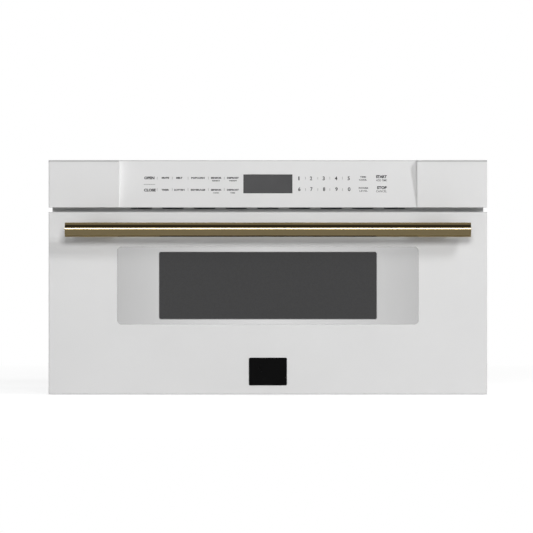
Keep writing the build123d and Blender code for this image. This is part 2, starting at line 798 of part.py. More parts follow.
# Fan shroud: a partition with a round opening and a spider that carries the fan motor
shroud_opening = fan_radius + fan_tip_gap
post_circle = shroud_opening + 1.5 * spider_post_radius
x_spider = fan_x + shroud_sheet + spider_reach
with BuildPart() as fan_shroud:
    with BuildSketch(Plane.YZ.offset(fan_x)):
        with Locations((rear_bay_y, (base_sheet + shroud_top) / 2)):
            Rectangle(y_rear_inside - y_cavity_outside, shroud_top - base_sheet)
        with Locations((y_rear_inside, base_sheet)):
            Rectangle(2 * base_sheet, 2 * pan_lip, mode=Mode.SUBTRACT)
        with Locations((rear_bay_y, fan_z)):
            Circle(shroud_opening, mode=Mode.SUBTRACT)
    extrude(amount=shroud_sheet)
    with BuildSketch(Plane.YZ.offset(fan_x + shroud_sheet)):
        with Locations((rear_bay_y, fan_z + post_circle), (rear_bay_y, fan_z - post_circle)):
            Circle(spider_post_radius)
    extrude(amount=spider_reach)
    with BuildSketch(Plane.YZ.offset(x_spider)):
        with Locations((rear_bay_y, fan_z)):
            SlotOverall(2 * post_circle + spider_width, spider_width, rotation=90)
            Circle(fan_shaft_radius * 2, mode=Mode.SUBTRACT)
    extrude(amount=shroud_sheet)
save(fan_shroud, "fan_shroud")

# Fan motor: shaded-pole core, its coil below, and the bearing boss that holds the shaft
x_fan_motor = x_spider + shroud_sheet
with BuildPart() as fan_motor:
    with BuildSketch(Plane.YZ.offset(x_fan_motor)):
        with Locations((rear_bay_y, fan_z)):
            RectangleRounded(fan_motor_width, fan_motor_height, edge_radius)
    extrude(amount=fan_motor_stack)
    with BuildSketch(Plane.YZ.offset(x_fan_motor)):
        with Locations((rear_bay_y, fan_z - fan_motor_height / 2)):
            RectangleRounded(fan_coil_width, fan_coil_width / 2, edge_radius)
    extrude(amount=fan_motor_stack + shroud_sheet)
    with BuildSketch(Plane.YZ.offset(x_fan_motor + fan_motor_stack)):
        with Locations((rear_bay_y, fan_z)):
            Circle(fan_hub_radius)
    extrude(amount=fan_hub_radius)
    with BuildSketch(Plane.YZ.offset(x_fan_motor)):
        with Locations((rear_bay_y, fan_z)):
            Circle(fan_shaft_radius + shaft_gap)
    extrude(amount=fan_motor_stack, mode=Mode.SUBTRACT)
save(fan_motor, "fan_motor")

# Fan wheel: twisted blades lofted from the hub to the tip, with its shaft back into the motor
hub_back = spider_reach / 2
with BuildPart() as fan_vane:
    for reach, chord, pitch in ((fan_hub_radius - 2, 22.0, 52.0), (fan_radius, 40.0, 28.0)):
        vane_plane = Plane(origin=(reach, 0, hub_back / 2), x_dir=(0, 1, 0), z_dir=(1, 0, 0))
        with BuildSketch(vane_plane):
            Rectangle(chord, fan_vane_sheet, rotation=pitch)
    loft()
    with BuildSketch(Plane.XY):
        Circle(fan_radius)
    extrude(amount=hub_back, mode=Mode.INTERSECT)
fan_plane = Plane(origin=(fan_x + shroud_sheet, rear_bay_y, fan_z), x_dir=(0, 1, 0), z_dir=(1, 0, 0))
with BuildPart(fan_plane) as fan_blade:
    with Locations((0, 0, hub_back / 2)):
        Cylinder(fan_hub_radius, fan_hub_length)
    with PolarLocations(0, fan_blades):
        add(fan_vane.part)
    Cylinder(
        fan_shaft_radius,
        spider_reach + shroud_sheet + fan_motor_stack - shaft_gap,
        align=(Align.CENTER, Align.CENTER, Align.MIN),
    )
save(fan_blade, "fan_blade")

# Mains filter board on four posts
z_filter_board = base_sheet + filter_board_post
with BuildPart() as filter_board:
    with BuildSketch(Plane.XY.offset(z_filter_board)):
        with Locations((filter_board_x, rear_bay_y)):
            Rectangle(filter_board_width, filter_board_depth)
    extrude(amount=board_thickness)
    with BuildSketch(Plane.XY.offset(base_sheet)):
        with Locations((filter_board_x, rear_bay_y)):
            with GridLocations(filter_board_width - 2 * filter_post_inset, filter_board_depth - 2 * filter_post_inset, 2, 2):
                Circle(board_post_radius)
    extrude(amount=filter_board_post)
    with BuildSketch(Plane.XY.offset(z_filter_board + board_thickness)):
        with Locations((filter_board_x - filter_board_width / 4, rear_bay_y)):
            RectangleRounded(filter_can_width, filter_can_depth, edge_radius)
    extrude(amount=filter_can_height)
    with BuildSketch(Plane.XY.offset(z_filter_board + board_thickness)):
        with Locations((filter_board_x + filter_board_width / 4, rear_bay_y)):
            with GridLocations(1, filter_board_depth / 3, 1, 2):
                SlotOverall(filter_can_width, filter_coil_width)
    extrude(amount=filter_coil_height)
save(filter_board, "filter_board")

# Grommet for the mains cord in the rear panel
with BuildPart() as cord_bush:
    with BuildSketch(Plane.YZ):
        with BuildLine():
            Polyline(
                (y_rear_inside - bush_flange, bush_bore_radius),
                (y_rear_inside - bush_flange, bush_hole_radius + bush_flange),
                (y_rear_inside, bush_hole_radius + bush_flange),
                (y_rear_inside, bush_hole_radius - fit_gap),
                (y_rear, bush_hole_radius - fit_gap),
                (y_rear, bush_hole_radius + bush_flange / 2),
                (y_rear + bush_flange, bush_hole_radius),
                (y_rear + bush_flange, bush_bore_radius),
                close=True,
            )
        make_face()
    revolve(axis=Axis.Y)
cord_bush.part.position = (bush_x, 0, bush_z)
save(cord_bush, "cord_bush")

# Thermal cut-out on the cavity roof
with BuildPart() as thermal_cutout:
    with BuildSketch(Plane.XY.offset(roof)):
        with Locations((cutout_x, lamp_y)):
            Circle(cutout_radius)
    extrude(amount=cutout_height)
    with BuildSketch(Plane.XY.offset(roof)):
        with Locations((cutout_x, lamp_y)):
            SlotOverall(4 * cutout_radius, cutout_radius)
    extrude(amount=cover_sheet)
    with BuildSketch(Plane.XY.offset(roof + cutout_height)):
        with Locations((cutout_x, lamp_y)):
            with GridLocations(cutout_radius, 1, 2, 1):
                Rectangle(cover_sheet, cutout_radius / 2)
    extrude(amount=cutout_radius)
save(thermal_cutout, "thermal_cutout")

# Lamp housing on the left wall of the cavity, and its bulb
x_lamp_wall = -cavity_width / 2 - liner_sheet
with BuildPart() as lamp_housing:
    with BuildSketch(Plane.YZ.offset(x_lamp_wall)):
        with Locations((lamp_y, lamp_z)):
            RectangleRounded(lamp_box, lamp_box, edge_radius)
    extrude(amount=-lamp_box_depth)
    offset(amount=-housing_sheet, openings=lamp_housing.faces().sort_by(Axis.X)[-1])
save(lamp_housing, "lamp_housing")

x_lamp_base = x_lamp_wall - lamp_box_depth + housing_sheet
with BuildPart() as lamp_bulb:
    with BuildSketch(Plane.XY):
        with BuildLine():
            Polyline(
                (x_lamp_base, 0),
                (x_lamp_base, bulb_neck_radius),
                (x_lamp_base + bulb_length / 3, bulb_neck_radius),
                (x_lamp_base + bulb_length / 2, bulb_radius),
                (x_lamp_base + 0.85 * bulb_length, bulb_radius),
                (x_lamp_base + bulb_length, bulb_neck_radius),
                (x_lamp_base + bulb_length, 0),
                close=True,
            )
        make_face()
    revolve(axis=Axis.X)
lamp_bulb.part.position = (0, lamp_y, lamp_z)
save(lamp_bulb, "lamp_bulb")

# Control fascia: flat ends and a centre that stands back from them and leans away towards its top edge
slope = atan2(fascia_recess - fascia_step, fascia_height)
recess_width = face_width - 2 * fascia_end_width
slope_plane = Plane(
    origin=(0, y_face + (fascia_recess + fascia_step) / 2, z_fascia_bottom + fascia_height / 2),
    x_dir=(1, 0, 0),
    z_dir=(0, -cos(slope), sin(slope)),
)
with BuildPart() as control_fascia:
    with BuildSketch(facing_front(y_frame)):
        with Locations((0, z_fascia_bottom + fascia_height / 2)):
            Rectangle(face_width, fascia_height)
    extrude(amount=y_frame - y_face)
    with BuildSketch(Plane.YZ.offset(-recess_width / 2)):
        with BuildLine():
            Polyline(
                (y_face, z_fascia_bottom),
                (y_face + fascia_step, z_fascia_bottom),
                (y_face + fascia_recess, z_fascia_top),
                (y_face, z_fascia_top),
                close=True,
            )
        make_face()
    extrude(amount=recess_width, mode=Mode.SUBTRACT)
    offset(amount=-fascia_sheet, openings=control_fascia.faces().sort_by(Axis.Y)[-1])
    front_edges = control_fascia.faces().filter_by(Axis.Y).group_by(Axis.Y)[0].edges()
    fillet(front_edges.filter_by_position(Axis.Z, z_fascia_bottom + edge_radius, z_fascia_top), edge_radius)
    slope_face = control_fascia.faces().filter_by(slope_plane).sort_by(Axis.Y)[0]
    fillet(slope_face.edges().filter_by(Axis.X).sort_by(Axis.Z)[-1], edge_radius)
    with BuildSketch(slope_plane):
        Rectangle(display_width + 2 * fit_gap, display_height + 2 * fit_gap)
    extrude(amount=-2 * fascia_sheet, mode=Mode.SUBTRACT)
save(control_fascia, "control_fascia")

# Display lens, flush in the sloping face
with BuildPart() as display_window:
    with BuildSketch(slope_plane):
        Rectangle(display_width, display_height)
    extrude(amount=-display_thickness)
save(display_window, "display_window")

# Touch sensor sheet bonded behind the sloping face, open round the display
sensor_width = recess_width - 2 * sensor_inset_x
sensor_height = fascia_height - 2 * sensor_inset_z
with BuildPart() as touch_sensor:
    with BuildSketch(slope_plane.offset(-fascia_sheet)):
        Rectangle(sensor_width, sensor_height)
        Rectangle(display_width + 4 * fit_gap, display_height + 4 * fit_gap, mode=Mode.SUBTRACT)
    extrude(amount=-sensor_sheet)
save(touch_sensor, "touch_sensor")

# Control board on posts behind the sensor, with the display module that backs the lens
board_front = fascia_sheet + sensor_sheet + board_offset
with BuildPart() as control_board:
    with BuildSketch(slope_plane.offset(-board_front)):
        Rectangle(sensor_width - 2 * board_inset, sensor_height - 2 * board_inset)
    extrude(amount=-board_thickness)
    with BuildSketch(slope_plane.offset(-board_front)):
        with GridLocations(sensor_width - 2 * board_post_inset, sensor_height - 2 * board_post_inset, 2, 2):
            Circle(board_post_radius)
    extrude(amount=board_offset)
    with BuildSketch(slope_plane.offset(-board_front)):
        Rectangle(display_width - 4 * fit_gap, display_height - 4 * fit_gap)
    extrude(amount=board_front - display_thickness)
    with BuildSketch(slope_plane.offset(-board_front)):
        with Locations((-sensor_width / 4, 0), (sensor_width / 4, 0)):
            RectangleRounded(chip_size, chip_size, edge_radius)
    extrude(amount=chip_height)
save(control_board, "control_board")


# Telescopic slides: three nested channels a side, each pair saved as one node
def channel_profile(y_back, x_low, x_high, nesting, opens):
    """C-section of both rails of a pair at depth y_back; opens is +1 where it opens away from the cavity."""
    height = slide_height - 2 * nesting * (slide_sheet + slide_gap)
    width = x_high - x_low
    pocket = (x_low + x_high + opens * slide_sheet) / 2
    with BuildSketch(facing_front(y_back)) as profile:
        with Locations((0, slide_mid_z)):
            with GridLocations(x_low + x_high, 1, 2, 1):
                Rectangle(width, height)
            with GridLocations(2 * pocket, 1, 2, 1):
                Rectangle(width - slide_sheet, height - 2 * slide_sheet, mode=Mode.SUBTRACT)
    return profile.sketch


middle_step = slide_sheet + slide_gap
x_mouth = x_slide_inner + arm_thickness
with BuildPart() as slide_outers:
    extrude(channel_profile(y_slide_back, x_mouth, slide_x, 0, -1), amount=slide_length)
    with BuildSketch(facing_front(y_slide_back)):
        with Locations((0, slide_mid_z)):
            with GridLocations(2 * x_mouth + slide_sheet, slide_height - 2 * slide_sheet - slide_lip, 2, 2):
                Rectangle(slide_sheet, slide_lip)
    extrude(amount=slide_length)
save(slide_outers, "slide_outers")

with BuildPart() as slide_middles:
    middle_profile = channel_profile(y_slide_back, x_mouth + middle_step, slide_x - middle_step, 1, -1)
    extrude(middle_profile, amount=slide_length)
save(slide_middles, "slide_middles")

with BuildPart() as slide_inners:
    inner_profile = channel_profile(y_slide_back, x_slide_inner, slide_x - 2 * middle_step, 2, 1)
    extrude(inner_profile, amount=y_slide_back - y_door_back - arm_thickness)
save(slide_inners, "slide_inners")

# Brackets that stand the fixed slide members on the base pan
with BuildPart() as slide_brackets:
    for side in (1, -1):
        with BuildSketch(Plane.YZ.offset(side * slide_x)):
            with Locations((y_slide_mid, (base_sheet + slide_high_z) / 2)):
                Rectangle(slide_length, slide_high_z - base_sheet)
            with Locations((y_slide_mid, slide_low_z / 2)):
                with GridLocations(slide_length / bracket_holes, 1, bracket_holes, 1):
                    RectangleRounded(bracket_hole_length, bracket_hole_height, cavity_corner, mode=Mode.SUBTRACT)
        extrude(amount=side * bracket_sheet)
        with BuildSketch(Plane.XY.offset(base_sheet)):
            with Locations((side * (slide_x + bracket_foot / 2), y_slide_mid)):
                Rectangle(bracket_foot, slide_length)
        extrude(amount=bracket_sheet)
save(slide_brackets, "slide_brackets")

# Angle arms that fix the moving slide members to the back of the door
x_arm = x_slide_inner - arm_thickness
arm_height = slide_height - 4 * middle_step
with BuildPart() as slide_arms:
    for side in (1, -1):
        with BuildSketch(facing_front(y_door_back + arm_thickness)):
            with Locations((side * (x_slide_inner - arm_thickness + arm_plate_width / 2), slide_mid_z)):
                Rectangle(arm_plate_width, arm_height)
        extrude(amount=arm_thickness)
        with BuildSketch(Plane.YZ.offset(side * x_arm)):
            with Locations((y_door_back + arm_length / 2, slide_mid_z)):
                Rectangle(arm_length, arm_height)
        extrude(amount=side * arm_thickness)
save(slide_arms, "slide_arms")

# Rack: straight-sided teeth towards +X and a foot that screws to the door
flank = tan(radians(pressure_angle))
rack_tip = gear_addendum * gear_module
rack_root = gear_dedendum * gear_module
half_tooth = (gear_pitch - gear_backlash) / 4
rack_teeth = int((rack_length - 2 * gear_pitch) / gear_pitch)
first_tooth = pinion_y + gear_pitch / 2
first_tooth -= gear_pitch * int((first_tooth - y_door_back - gear_pitch) / gear_pitch)
with BuildPart() as rack:
    with BuildSketch(Plane.XY.offset(gear_low_z)):
        with BuildLine():
            outline = [(rack_pitch_x - rack_back, y_door_back), (rack_pitch_x - rack_root, y_door_back)]
            for i in range(rack_teeth):
                middle = first_tooth + i * gear_pitch
                outline += [
                    (rack_pitch_x - rack_root, middle - half_tooth - rack_root * flank),
                    (rack_pitch_x + rack_tip, middle - half_tooth + rack_tip * flank),
                    (rack_pitch_x + rack_tip, middle + half_tooth - rack_tip * flank),
                    (rack_pitch_x - rack_root, middle + half_tooth + rack_root * flank),
                ]
            outline += [
                (rack_pitch_x - rack_root, y_door_back + rack_length),
                (rack_pitch_x - rack_back, y_door_back + rack_length),
            ]
            Polyline(*outline, close=True)
        make_face()
    extrude(amount=gear_width)
    with BuildSketch(facing_front(y_door_back)):
        with Locations((rack_pitch_x - rack_back / 2, gear_low_z + gear_width / 2)):
            Rectangle(rack_foot_width, gear_width)
    extrude(amount=-rack_foot_thickness)
save(rack, "rack")

# Pinion: involute teeth, its flanks as arcs through three points of the curve, on a vertical shaft
base_radius = gear_radius * cos(radians(pressure_angle))
tip_radius = gear_radius + rack_tip
root_radius = gear_radius - rack_root


def involute(angle):
    """Involute function of a pressure angle in radians."""
    return tan(angle) - angle


def flank_point(radius, side):
    """Point of a tooth flank at a radius; the tooth is centred on the local X axis."""
    half_angle = half_tooth / gear_radius + involute(radians(pressure_angle))
    half_angle -= involute(acos(base_radius / radius))
    return (radius * cos(half_angle), side * radius * sin(half_angle))


with BuildSketch() as pinion_tooth:
    with BuildLine():
        flanks = {}
        for side in (-1, 1):
            foot = flank_point(base_radius, side)
            inner_foot = tuple(c * 0.9 * root_radius / base_radius for c in foot)
            Line(inner_foot, foot)
            ThreePointArc(foot, flank_point(gear_radius, side), flank_point(tip_radius, side))
            flanks[side] = (inner_foot, flank_point(tip_radius, side))
        ThreePointArc(flanks[-1][1], (tip_radius, 0), flanks[1][1])
        Line(flanks[-1][0], flanks[1][0])
    make_face()
pinion_plane = Plane(origin=(pinion_x, pinion_y, gear_low_z), x_dir=(-1, 0, 0), z_dir=(0, 0, 1))
with BuildPart() as drive_pinion:
    with BuildSketch(pinion_plane):
        Circle(root_radius)
        with PolarLocations(0, pinion_teeth):
            add(pinion_tooth.sketch)
    extrude(amount=gear_width)
    with BuildSketch(Plane.XY.offset(gear_low_z - drive_plate)):
        with Locations((pinion_x, pinion_y)):
            Circle(pinion_shaft_radius)
    extrude(amount=gearbox_low_z + gearbox_height / 2 - gear_low_z + drive_plate - shaft_gap)
save(drive_pinion, "drive_pinion")

# Bridge that carries the gearbox over the pinion
bridge_left = pinion_x - gearbox_end
bridge_depth = gearbox_depth + 2 * drive_plate
with BuildPart() as drive_bracket:
    with BuildSketch(Plane.YZ.offset(bridge_left)):
        with Locations((pinion_y, (base_sheet + gearbox_low_z) / 2)):
            Rectangle(bridge_depth, gearbox_low_z - base_sheet)
        with Locations((pinion_y, (base_sheet + gearbox_low_z) / 2 - drive_plate)):
            Rectangle(bridge_depth - 2 * drive_plate, gearbox_low_z - base_sheet, mode=Mode.SUBTRACT)
        with Locations((pinion_y, base_sheet + drive_plate / 2)):
            with GridLocations(bridge_depth + drive_foot, 1, 2, 1):
                Rectangle(drive_foot, drive_plate)
    extrude(amount=gearbox_width)
    with BuildSketch(Plane.XY.offset(gearbox_low_z)):
        with Locations((pinion_x, pinion_y)):
            Circle(2 * pinion_shaft_radius)
    extrude(amount=-drive_plate, mode=Mode.SUBTRACT)
    with BuildSketch(Plane.XY):
        with Locations((rack_pitch_x - rack_back / 2, pinion_y)):
            Rectangle(2 * rack_back, 2 * bridge_depth)
    extrude(amount=gear_low_z + gear_width + guide_gap, mode=Mode.SUBTRACT)
save(drive_bracket, "drive_bracket")

# Drive gearbox, bored for the pinion shaft, and its motor
with BuildPart() as drive_gearbox:
    with BuildSketch(Plane.XY.offset(gearbox_low_z)):
        with Locations((bridge_left + gearbox_width / 2, pinion_y)):
            RectangleRounded(gearbox_width, gearbox_depth, cavity_corner)
    extrude(amount=gearbox_height)
    chamfer(drive_gearbox.faces().sort_by(Axis.Z)[-1].edges(), edge_radius)
    with BuildSketch(Plane.XY.offset(gearbox_low_z)):
        with Locations((pinion_x, pinion_y)):
            Circle(pinion_shaft_radius + shaft_gap)
    extrude(amount=gearbox_height / 2, mode=Mode.SUBTRACT)
save(drive_gearbox, "drive_gearbox")

with BuildPart() as drive_motor:
    with BuildSketch(Plane.YZ.offset(bridge_left + gearbox_width)):
        with Locations((pinion_y, gearbox_low_z + gearbox_height / 2)):
            Circle(drive_motor_radius)
    extrude(amount=drive_motor_length)
    chamfer(drive_motor.edges().filter_by(GeomType.CIRCLE).sort_by(Axis.X)[-1], edge_radius)
    with BuildSketch(Plane.YZ.offset(bridge_left + gearbox_width + drive_motor_length)):
        with Locations((pinion_y, gearbox_low_z + gearbox_height / 2)):
            Circle(drive_motor_radius / 2)
    extrude(amount=edge_radius)
save(drive_motor, "drive_motor")

# Guide that keeps the rack in mesh, under it and behind its back
guide_left = rack_pitch_x - rack_back - guide_gap - guide_wall
with BuildPart() as rack_guide:
    with BuildSketch(facing_front(pinion_y + guide_length / 2)):
        with BuildLine():
            Polyline(
                (guide_left, base_sheet),
                (rack_pitch_x - rack_root, base_sheet),
                (rack_pitch_x - rack_root, gear_low_z - guide_gap),
                (guide_left + guide_wall, gear_low_z - guide_gap),
                (guide_left + guide_wall, gear_low_z + gear_width),
                (guide_left, gear_low_z + gear_width),
                close=True,
            )
        make_face()
    extrude(amount=guide_length)
save(rack_guide, "rack_guide")

# Interlock: a housing behind the mounting frame on each side, with two switches beside the hook
housing_height = hook_height + hook_nose + 4 * hook_clearance
housing_depth = hook_reach + 2 * hook_clearance
x_switch = hook_x + hook_thickness / 2 + hook_clearance / 4
x_housing = x_switch + switch_width
with BuildPart() as interlock_housings:
    for side in (1, -1):
        with BuildSketch(Plane.YZ.offset(side * x_housing)):
            with Locations((y_cabinet + housing_depth / 2, hook_z)):
                Rectangle(housing_depth, housing_height)
        extrude(amount=side * housing_sheet)
        with BuildSketch(facing_front(y_cabinet + housing_sheet)):
            with Locations((side * (x_housing + bracket_foot / 2), hook_z)):
                Rectangle(bracket_foot, housing_height)
        extrude(amount=housing_sheet)
save(interlock_housings, "interlock_housings")

with BuildPart() as interlock_switches:
    for side in (1, -1):
        with BuildSketch(Plane.YZ.offset(side * x_switch)):
            with Locations((y_cabinet + housing_depth / 2, hook_z)):
                with GridLocations(1, housing_height / 2, 1, 2):
                    RectangleRounded(housing_depth / 2, housing_height / 3, housing_sheet)
        extrude(amount=side * switch_width)
save(interlock_switches, "interlock_switches")

# Door skin: the painted pan with its window opening and handle holes
with BuildPart() as door_skin:
    with BuildSketch(facing_front(y_door_back)):
        with Locations((0, door_mid_z)):
            Rectangle(face_width, door_height)
    extrude(amount=door_thickness)
    fillet(door_skin.faces().sort_by(Axis.Y)[0].edges(), edge_radius)
    offset(amount=-skin_sheet, openings=door_skin.faces().sort_by(Axis.Y)[-1])
    with BuildSketch(facing_front(y_face)):
        with Locations((0, window_centre_z)):
            RectangleRounded(trim_width + 2 * trim_gap, trim_height + 2 * trim_gap, trim_corner + trim_gap)
        for side in (1, -1):
            with Locations((side * post_spacing / 2, z_handle)):
                with GridLocations(post_hole_spacing, 1, 2, 1):
                    Circle(post_hole_radius)
    extrude(amount=-skin_sheet, mode=Mode.SUBTRACT)
save(door_skin, "door_skin")

# Inner panel that closes the back of the door round the choke
choke_half_width = cavity_width / 2 + choke_offset + choke_width
choke_size = (2 * choke_half_width, choke_high - choke_low)
with BuildPart() as door_inner_panel:
    with BuildSketch(facing_front(y_door_back)):
        with Locations((0, door_mid_z)):
            Rectangle(face_width - 2 * skin_sheet - 2 * fit_gap, door_height - 2 * skin_sheet - 2 * fit_gap)
        with Locations((0, cavity_mid_z)):
            Rectangle(*choke_size, mode=Mode.SUBTRACT)
    extrude(amount=inner_sheet)
save(door_inner_panel, "door_inner_panel")

# Choke frame: a pressed channel round the mouth, with the window plate in its middle
plate_size = (cavity_width + 2 * choke_offset, cavity_height + 2 * choke_offset)
with BuildPart() as choke_frame:
    with BuildSketch(facing_front(y_door_back)):
        with Locations((0, cavity_mid_z)):
            Rectangle(*choke_size)
    extrude(amount=choke_depth)
    with BuildSketch(facing_front(y_door_back)):
        with Locations((0, cavity_mid_z)):
            Rectangle(choke_size[0] - 2 * inner_sheet, choke_size[1] - 2 * inner_sheet)
            Rectangle(*plate_size, mode=Mode.SUBTRACT)
    extrude(amount=choke_depth - inner_sheet, mode=Mode.SUBTRACT)
    with BuildSketch(facing_front(y_door_back - choke_depth)):
        with Locations((0, cavity_mid_z)):
            Rectangle(plate_size[0] - 2 * inner_sheet, plate_size[1] - 2 * inner_sheet)
    extrude(amount=-(choke_depth - inner_sheet), mode=Mode.SUBTRACT)
    with BuildSketch(facing_front(y_door_back)):
        with Locations((0, window_centre_z)):
            RectangleRounded(window_width, window_height, window_corner)
    extrude(amount=inner_sheet, mode=Mode.SUBTRACT)
save(choke_frame, "choke_frame")

# Plastic cover over the choke channel
with BuildPart() as choke_cover:
    with BuildSketch(facing_front(y_door_back + choke_cover_thickness)):
        with Locations((0, cavity_mid_z)):
            RectangleRounded(
                choke_size[0] + 2 * choke_cover_lap, choke_size[1] + 2 * choke_cover_lap, cavity_corner
            )
            RectangleRounded(
                plate_size[0] - 2 * choke_cover_lap,
                plate_size[1] - 2 * choke_cover_lap,
                cavity_corner,
                mode=Mode.SUBTRACT,
            )
    extrude(amount=choke_cover_thickness)
save(choke_cover, "choke_cover")

# Window trim: the silver border plate, flush with the skin, bevelled towards the glass
with BuildPart() as window_trim:
    with BuildSketch(facing_front(y_trim_back)):
        with Locations((0, window_centre_z)):
            RectangleRounded(trim_width, trim_height, trim_corner)
            RectangleRounded(window_width, window_height, window_corner, mode=Mode.SUBTRACT)
    extrude(amount=trim_thickness)
    trim_front = window_trim.faces().sort_by(Axis.Y)[0]
    chamfer(trim_front.inner_wires()[0].edges(), trim_bevel)
save(window_trim, "window_trim")

# Outer window glass behind the trim
glass_width = window_width + 2 * glass_lap
glass_height = window_height + 2 * glass_lap
with BuildPart() as window_glass:
    with BuildSketch(facing_front(y_glass_back)):
        with Locations((0, window_centre_z)):
            RectangleRounded(glass_width, glass_height, window_corner)
    extrude(amount=glass_thickness)
save(window_glass, "window_glass")

# Window carrier: seats for the trim and the glass, and a collar back to the screen
with BuildPart() as window_carrier:
    with BuildSketch(facing_front(y_ledge_back)):
        with Locations((0, window_centre_z)):
            RectangleRounded(trim_width + 2 * carrier_border, trim_height + 2 * carrier_border, trim_corner)
    extrude(amount=y_ledge_back - y_face - skin_sheet)
    with BuildSketch(facing_front(y_screen_front)):
        with Locations((0, window_centre_z)):
            RectangleRounded(window_width + 2 * collar_wall, window_height + 2 * collar_wall, trim_corner)
    extrude(amount=y_screen_front - y_ledge_back)
    with BuildSketch(facing_front(y_trim_back)):
        with Locations((0, window_centre_z)):
            RectangleRounded(trim_width + 2 * trim_gap, trim_height + 2 * trim_gap, trim_corner + trim_gap)
    extrude(amount=trim_thickness, mode=Mode.SUBTRACT)
    with BuildSketch(facing_front(y_glass_back)):
        with Locations((0, window_centre_z)):
            RectangleRounded(glass_width + 2 * fit_gap, glass_height + 2 * fit_gap, window_corner)
    extrude(amount=glass_thickness, mode=Mode.SUBTRACT)
    with BuildSketch(facing_front(y_screen_front)):
        with Locations((0, window_centre_z)):
            RectangleRounded(window_width, window_height, window_corner)
    extrude(amount=y_screen_front - y_glass_back, mode=Mode.SUBTRACT)
save(window_carrier, "window_carrier")

# Metal screen and inner glass against the choke plate
inner_glass_size = (window_width + 2 * inner_glass_lap, window_height + 2 * inner_glass_lap)
with BuildPart() as inner_window:
    with BuildSketch(facing_front(y_door_back - inner_sheet)):
        with Locations((0, window_centre_z)):
            RectangleRounded(*inner_glass_size, window_corner)
    extrude(amount=inner_glass_thickness)
save(inner_window, "inner_window")

with BuildPart() as window_screen:
    with BuildSketch(facing_front(y_screen_front + screen_sheet)):
        with Locations((0, window_centre_z)):
            RectangleRounded(*inner_glass_size, window_corner)
    extrude(amount=screen_sheet)
save(window_screen, "window_screen")

# Drawer basin: open at the top and towards the door, with a turned-out rim and front tabs
with BuildPart() as drawer_basin:
    with BuildSketch(Plane.XY.offset(basin_floor)) as basin_plan:
        with Locations((0, basin_mid_y)):
            Rectangle(basin_width, basin_depth)
        fillet(basin_plan.vertices().group_by(Axis.Y)[-1], basin_corner)
    extrude(amount=basin_height)
    basin_open = [drawer_basin.faces().sort_by(Axis.Z)[-1], drawer_basin.faces().sort_by(Axis.Y)[0]]
    offset(amount=-basin_sheet, openings=basin_open)
    with BuildSketch(Plane.XY.offset(basin_top)) as rim_plan:
        with Locations((0, basin_mid_y + basin_rim / 2)):
            Rectangle(basin_width + 2 * basin_rim, basin_depth + basin_rim)
        fillet(rim_plan.vertices().group_by(Axis.Y)[-1], basin_corner + basin_rim)
        with BuildSketch(Plane.XY.offset(basin_top), mode=Mode.SUBTRACT) as rim_opening:
            with Locations((0, basin_mid_y - basin_sheet / 2)):
                Rectangle(basin_width - 2 * basin_sheet, basin_depth - basin_sheet)
            fillet(rim_opening.vertices().group_by(Axis.Y)[-1], basin_corner - basin_sheet)
    extrude(amount=-basin_sheet)
    with BuildSketch(facing_front(y_door_back + basin_sheet)):
        with Locations((0, basin_floor + basin_height / 2)):
            with GridLocations(basin_width + basin_tab, 1, 2, 1):
                Rectangle(basin_tab, basin_height - 2 * basin_tab_inset)
    extrude(amount=basin_sheet)
save(drawer_basin, "drawer_basin")

# Glass tray on the floor of the basin
with BuildPart() as tray_glass:
    with BuildSketch(Plane.XY.offset(basin_floor + basin_sheet)):
        with Locations((0, basin_mid_y)):
            RectangleRounded(
                basin_width - 2 * basin_sheet - 2 * tray_gap,
                basin_depth - 2 * basin_sheet - 2 * tray_gap,
                basin_corner,
            )
    extrude(amount=tray_thickness)
    fillet(tray_glass.faces().sort_by(Axis.Z)[-1].edges(), basin_sheet)
save(tray_glass, "tray_glass")

# Handle: a round bar on two wide posts that are hollowed to seat it
with BuildPart() as handle_bar:
    with BuildSketch(Plane.YZ.offset(-handle_length / 2)):
        with Locations((y_handle, z_handle)):
            Circle(handle_diameter / 2)
    extrude(amount=handle_length)
    chamfer(handle_bar.edges().filter_by(GeomType.CIRCLE), handle_chamfer)
save(handle_bar, "handle_bar")

with BuildPart() as handle_posts:
    with BuildSketch(facing_front(y_face)):
        with Locations((0, z_handle)):
            with GridLocations(post_spacing, 1, 2, 1):
                SlotOverall(post_width, post_height)
    extrude(amount=handle_standoff)
    with BuildSketch(Plane.YZ.offset(-handle_length / 2)):
        with Locations((y_handle, z_handle)):
            Circle(handle_diameter / 2)
    extrude(amount=handle_length, mode=Mode.SUBTRACT)
    with BuildSketch(facing_front(y_face)):
        for side in (1, -1):
            with Locations((side * post_spacing / 2, z_handle)):
                with GridLocations(post_hole_spacing, 1, 2, 1):
                    Circle(post_hole_radius)
    extrude(amount=post_height, mode=Mode.SUBTRACT)
save(handle_posts, "handle_posts")

# Bare badge plate
with BuildPart() as badge_plate:
    with BuildSketch(facing_front(y_face)):
        with Locations((0, badge_centre_z)):
            RectangleRounded(badge_width, badge_height, badge_corner)
    extrude(amount=badge_thickness)
    chamfer(badge_plate.faces().sort_by(Axis.Y)[0].edges(), badge_thickness / 3)
save(badge_plate, "badge_plate")

# Rubber bumpers on the back of the door
with BuildPart() as door_bumpers:
    with BuildSketch(facing_front(y_door_back)):
        with Locations((0, door_mid_z)):
            with GridLocations(face_width - 2 * bumper_inset_x, door_height - 2 * bumper_inset_z, 2, 2):
                Circle(bumper_radius)
    extrude(amount=-(door_gap - bumper_gap))
save(door_bumpers, "door_bumpers")

